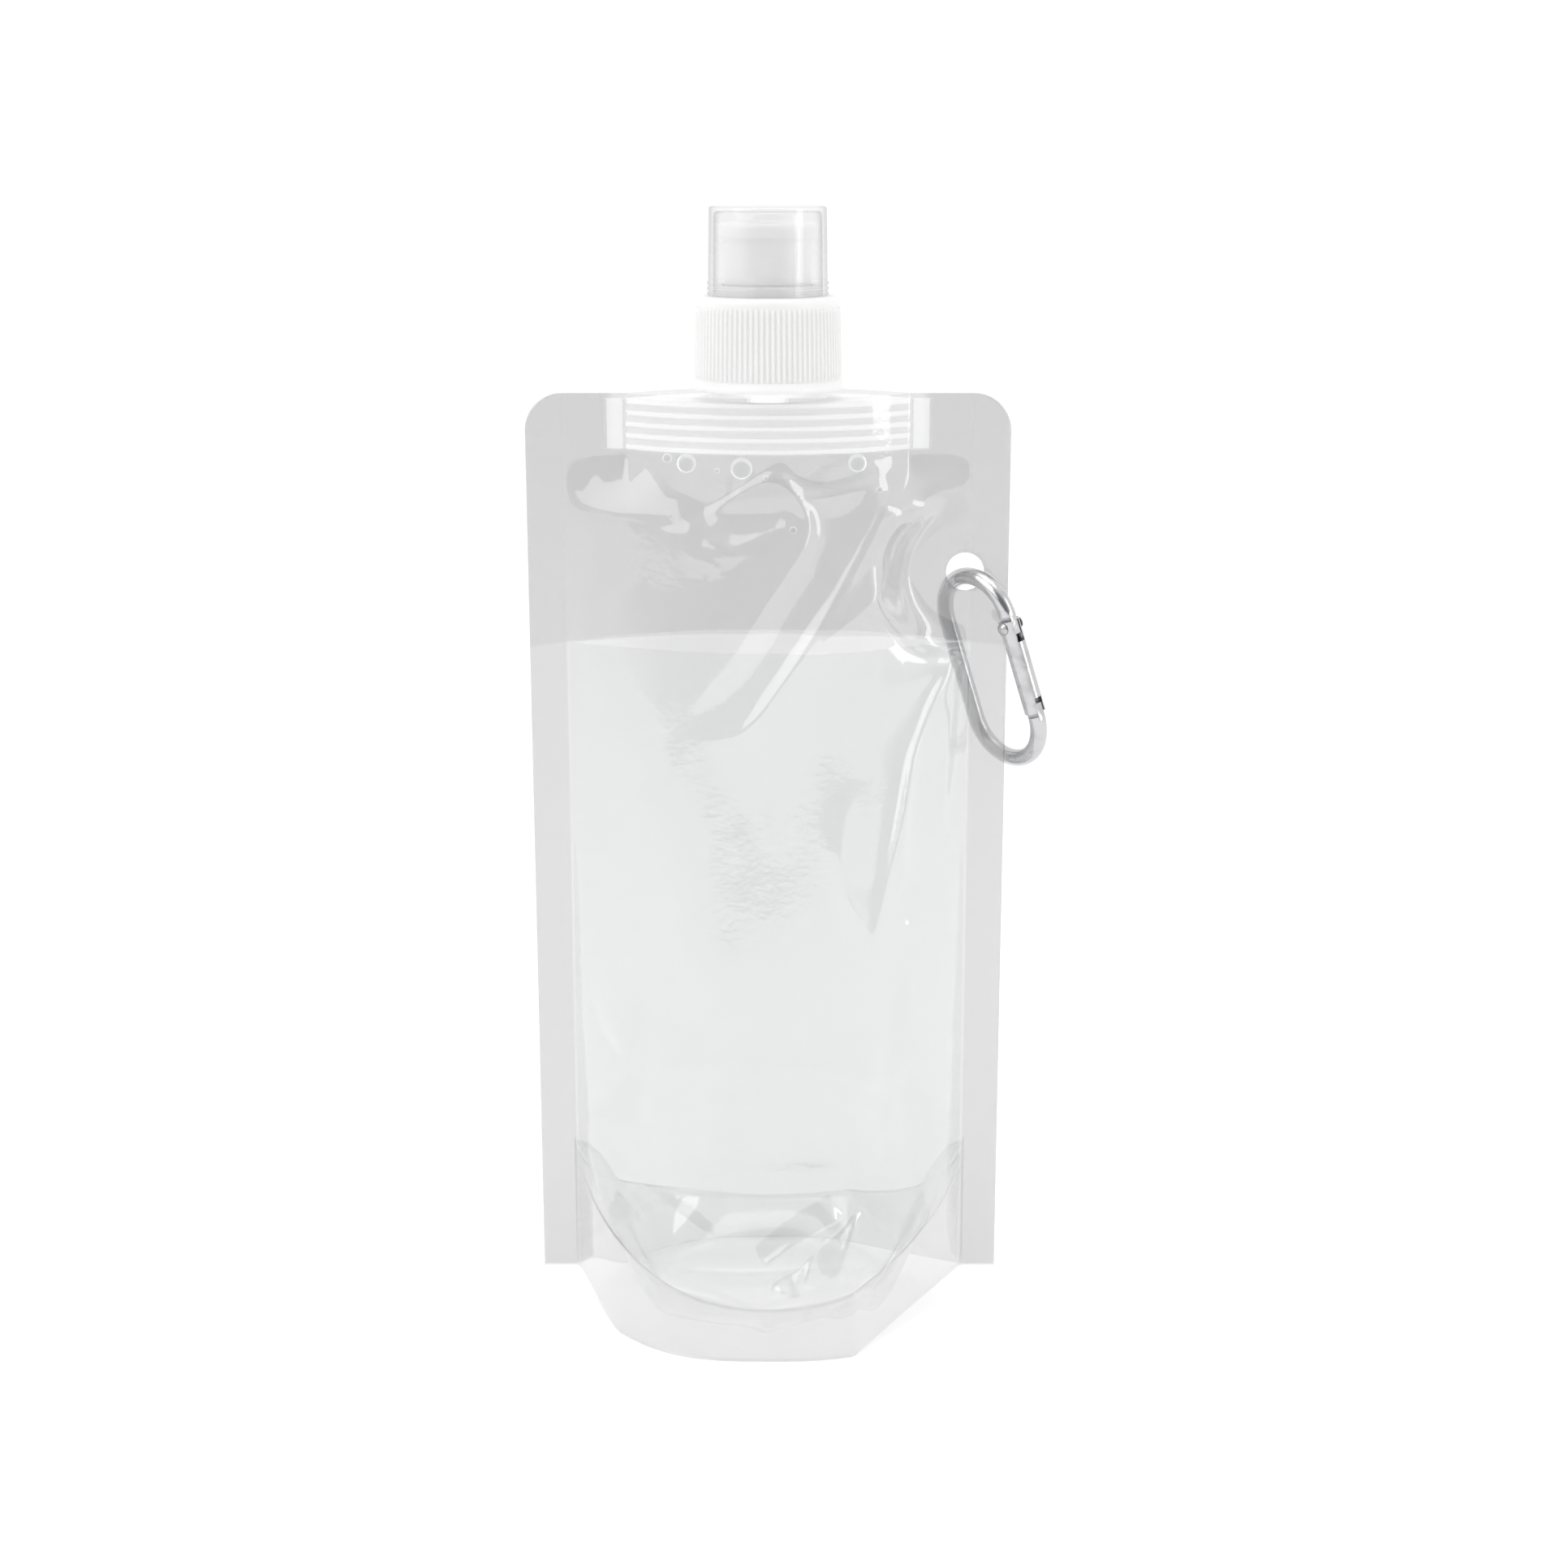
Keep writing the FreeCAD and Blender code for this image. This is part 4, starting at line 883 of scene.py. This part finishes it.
def collarCorners():
    # up the outside from the flared edge, over the deck and the spigot, and down the inside
    low, foot, band = collar["low"], collar["ribFoot"], collar["ribTop"]
    flare, skirt, rim = collar["flare"], collar["skirt"], collar["rim"]
    spigot, tip, bore = collar["spigot"], collar["spigotTop"], collar["bore"]
    return [(collar["inner"], low, 0), (flare - 0.2, low, 0.4), (flare, low + 0.5, 0.3),
            (flare - 0.1, low + 1.0, 0.3), (flare - 0.8, low + 2.2, 0.3),
            (skirt + 0.02, foot - 0.4, 0.2), (skirt, foot, 0), (skirt, foot + 1, 0),
            (skirt - 0.15, deck - 10, 0), (skirt - 0.3, band - 1, 0), (skirt - 0.32, band, 0),
            (skirt - 0.35, band + 0.6, 0.2), (skirt - 0.4, deck - 0.9, 0.9),
            (skirt - 1.2, deck, 0.8), (rim + 0.05, deck, 0.2), (rim, deck + 2.1, 0.3),
            (rim - 0.3, deck + 2.4, 0.3), (rim - 1.9, deck + 2.4, 0.3), (rim - 1.9, deck, 0.2),
            (spigot, deck, 0.2), (spigot, tip - 1.3, 0.1), (spigot + 0.62, tip - 0.65, 0.2),
            (spigot, tip, 0.2), (bore, tip, 0.2), (bore, deck - 2, 0.1),
            (collar["inner"], deck - 2, 0.2)]


postCorners = [(0.0, post["foot"], 0), (post["radius"], post["foot"], 0.1),
               (post["radius"], post["top"] - 0.6, 0.6), (post["tip"], post["top"], 0.6),
               (0.0, post["top"], 0)]
spokePoints, spokeFaces = plate((post["spokeAt"], 0, deck), post["spokeSize"], 0.15)
spokes = []
for turn in np.radians(360 / post["spokes"] * np.arange(post["spokes"])):
    cos, sin = math.cos(turn), math.sin(turn)
    spokes.append((spokePoints @ np.array([[cos, sin, 0], [-sin, cos, 0], [0, 0, 1]]), spokeFaces))
addPiece("collar_moulding", *joinGrids(
    closedTurn(collarCorners(), collar["ribs"] * 8, collarRibs, 4),
    turnedGrid(roundedProfile(postCorners), 48), *spokes,
    helixRidge(collar["inner"], -1, thread["start"] + thread["pitch"] / 2)),
    "collar", "white_plastic", whitePlastic, ["screw_collar"], sharp=50)

# mouthpiece: sleeve, lip, and a face sunk round the post's hole
noseLow, noseTop = (corner[2] for corner in nodeBox("push_pull_nozzle"))
nozzle = {"bore": 8.06, "sleeve": 9.95, "lip": 11.55, "lipTall": 4.6, "chamber": 8.7,
          "faceEdge": 6.4, "faceSunk": 0.7, "hole": 2.96, "face": 2.4}
addPiece("mouthpiece", *closedTurn([
    (nozzle["bore"], noseLow, 0.1), (nozzle["sleeve"], noseLow, 0.3),
    (nozzle["sleeve"], noseTop - nozzle["lipTall"], 0.8),
    (nozzle["lip"] - 0.15, noseTop - 3.2, 0.5), (nozzle["lip"], noseTop - 1.1, 0.6),
    (nozzle["lip"] - 0.35, noseTop - 0.25, 0.5), (10.2, noseTop, 0.6),
    (nozzle["faceEdge"], noseTop, 0.5),
    (nozzle["faceEdge"] - 1, noseTop - nozzle["faceSunk"], 0.5),
    (3.9, noseTop - nozzle["faceSunk"], 0.4), (nozzle["hole"], noseTop - 0.4, 0.2),
    (nozzle["hole"], noseTop - nozzle["face"], 0.1),
    (nozzle["chamber"], noseTop - nozzle["face"], 0.3),
    (nozzle["chamber"], noseLow + 1, 0.1), (nozzle["bore"], noseLow + 1, 0.1)]),
    "nozzle", "white_plastic", mouthPlastic, ["push_pull_nozzle"], sharp=50)

# dust cap: three rings at its foot, a plain wall and a rounded crown
rimLow, crownTop = (corner[2] for corner in nodeBox("dust_cap"))
dustCap = {"rings": 3, "ringStep": 1.2, "ring": 14.0, "groove": 0.25, "wall": 13.5, "inside": 12.65,
           "crown": 1.1, "around": 160}


def dustCorners():
    # up the ringed outside, over the crown and down the inside
    inside, crown = dustCap["inside"], crownTop - dustCap["crown"]
    corners = [(inside, rimLow, 0.1)]
    for base in rimLow + dustCap["ringStep"] * np.arange(dustCap["rings"]):
        ring, groove = dustCap["ring"], dustCap["ring"] - dustCap["groove"]
        corners += [(ring, base, 0.15), (ring, base + 0.6, 0.2), (groove, base + 0.75, 0.1),
                    (groove, base + 1.1, 0.1)]
    wall = dustCap["wall"]
    return corners + [(wall, crownTop - 1.5, 0), (wall - 0.02, crownTop, 1.6), (0.0, crownTop, 0),
                      (0.0, crown, 0), (inside - 0.35, crown, 1.2),
                      (inside - 0.2, crownTop - 3, 0.2)]


addPiece("dust_cap_shell", *closedTurn(dustCorners(), dustCap["around"], steps=7),
         "dust_cap", "clear_plastic", capPlastic, ["dust_cap"], sharp=60)
print("cap made")


# --- droplets under the boat, on the inside of the front film ---
# middle as x and z, and radius
dropPlan = [(-18.7, 211.4, 2.2), (-6.0, 210.6, 2.5), (20.6, 211.4, 2.1), (-23.2, 212.4, 1.1),
            (-11.6, 210.0, 0.6), (-0.4, 208.6, 0.6), (25.8, 205.2, 0.8), (5.8, 196.8, 0.9),
            (-10.4, 206.2, 0.4)]
dropShape = {"around": 20, "rings": 7, "swell": 0.45, "under": 0.6}


def droplet(x, z, radius):
    # a shallow dome: depth * (1 - (r / radius)^2) over a disc, closed by the disc
    around, rings = dropShape["around"], dropShape["rings"]
    angle = np.linspace(0, 2 * np.pi, around, endpoint=False)[None, :]
    share = np.linspace(0, 1, rings)[:, None]
    dropX = x + radius * share * np.cos(angle)
    dropZ = z + radius * share * np.sin(angle)
    wall = dropShape["under"] - frontDepth(np.array([[x]]), np.array([[z]]))
    dome = wall + radius * dropShape["swell"] * (1 - share ** 2) * np.ones_like(angle)
    faces = gridFaces(rings, around, True)
    return joinGrids((np.stack([dropX, dome, dropZ], -1), faces),
                     (np.stack([dropX, np.full_like(dropX, wall), dropZ], -1), faces[:, ::-1]))


addPiece("droplets", *joinGrids(*(droplet(*drop) for drop in dropPlan)),
         "pouch", "clear_film", dropWater)


# --- carabiner: the frame's own solids with softened edges ---
rodEdges = {"width": 0.18, "segments": 2, "sharp": math.radians(35)}


def softened(node, name, body, material):
    # a copy of the solid with its doubles merged, flat faces joined and sharp edges rounded
    mesh = frame["nodes"][node].data.copy()
    mesh.name = name
    tidy = bmesh.new()
    tidy.from_mesh(mesh)
    bmesh.ops.remove_doubles(tidy, verts=tidy.verts, dist=0.001 * mm)
    bmesh.ops.dissolve_limit(tidy, angle_limit=math.radians(1), verts=tidy.verts,
                             edges=tidy.edges)
    tidy.to_mesh(mesh)
    tidy.free()
    mesh.polygons.foreach_set("use_smooth", np.ones(len(mesh.polygons), bool))
    mesh.set_sharp_from_angle(angle=rodEdges["sharp"])
    mesh.materials.clear()
    mesh.materials.append(material)
    piece = bpy.data.objects.new(name, mesh)
    scene.collection.objects.link(piece)
    bevel = piece.modifiers.new("edges", "BEVEL")
    bevel.width = rodEdges["width"] * mm
    bevel.segments = rodEdges["segments"]
    bevel.limit_method = "ANGLE"
    bevel.angle_limit = rodEdges["sharp"]
    bevel.harden_normals = False
    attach(piece, body)
    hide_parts(node)


softened("carabiner_frame", "carabiner_rod", "carabiner", aluminium)
softened("carabiner_gate", "carabiner_gate_rod", "gate", aluminium)
for node, material in (("gate_hinge_rivet", steel), ("gate_plunger", steel),
                       ("gate_spring", steel), ("neck_gasket", rubber)):
    shown = frame["nodes"][node]
    shown.data.materials.clear()
    shown.data.materials.append(material)
print("carabiner made")


# --- studio: pale floor, white surroundings with a darker side behind the camera, soft lamps ---
studio = {
    "floorHalf": 6.0, "floorGrey": 0.55, "floorGlow": 0.52,
    "white": (1.02, 1.02, 1.02, 1), "dark": (0.22, 0.225, 0.23, 1),
    "darkFrom": (0.5, 0.93), "darkAbove": (-0.25, 0.0),     # -y and z of the dark directions
    # name, place, aim, size in metres, power in watts
    "lamps": [("keyLamp", (-1.15, -0.95, 1.0), (0, 0, 0.13), (1.3, 1.3), 6.5),
              ("sideLamp", (1.1, -0.5, 0.5), (0, 0, 0.13), (0.3, 0.9), 2.0),
              ("topLamp", (0.0, -0.2, 1.2), (0, 0, 0.1), (0.8, 0.5), 2.0)],
}


def addFloor(half):
    mesh = bpy.data.meshes.new("floor")
    points = np.array([[-1, -1, 0], [1, -1, 0], [1, 1, 0], [-1, 1, 0]]) * half
    mesh.from_pydata(points.tolist(), [], [(0, 1, 2, 3)])
    floor = bpy.data.objects.new("floor", mesh)
    scene.collection.objects.link(floor)
    made = Finish("floor")
    shade = made.node("ShaderNodeAddShader", values=[made.milk(grey(studio["floorGrey"])),
                                                     made.glow(studio["floorGlow"])])
    mesh.materials.append(made.finish(shade))


def addLamp(name, place, aim, size, power):
    # an oblong lamp that faces its aim
    data = bpy.data.lights.new(name, "AREA")
    data.shape = "RECTANGLE"
    data.size, data.size_y = size
    data.energy = power
    lamp = bpy.data.objects.new(name, data)
    lamp.location = place
    away = np.array(place) - np.array(aim)
    tilt = math.acos(away[2] / np.linalg.norm(away))
    lamp.rotation_euler = (tilt, 0, math.atan2(away[1], away[0]) + math.pi / 2)
    scene.collection.objects.link(lamp)


def setWorld():
    # bright all round, dark behind the camera so that clear film shows what it mirrors
    world = bpy.data.worlds.new("studio")
    scene.world = world
    made = Finish("studio", world)
    x, y, z = made.parts(made.node("ShaderNodeTexCoord", out="Generated"))
    behind = made.between(*studio["darkFrom"], y * -1.0) * made.between(*studio["darkAbove"], z)
    shade = made.mixColour(behind, studio["white"], studio["dark"])
    shader = made.node("ShaderNodeBackground", values={"Color": shade, "Strength": 1.0})
    made.node("ShaderNodeOutputWorld", values={"Surface": shader})


addFloor(studio["floorHalf"])
for lampPlan in studio["lamps"]:
    addLamp(*lampPlan)
setWorld()
scene.view_settings.view_transform = "Standard"
scene.cycles.transparent_max_bounces = 32     # light passes many clear walls here
print("studio made")
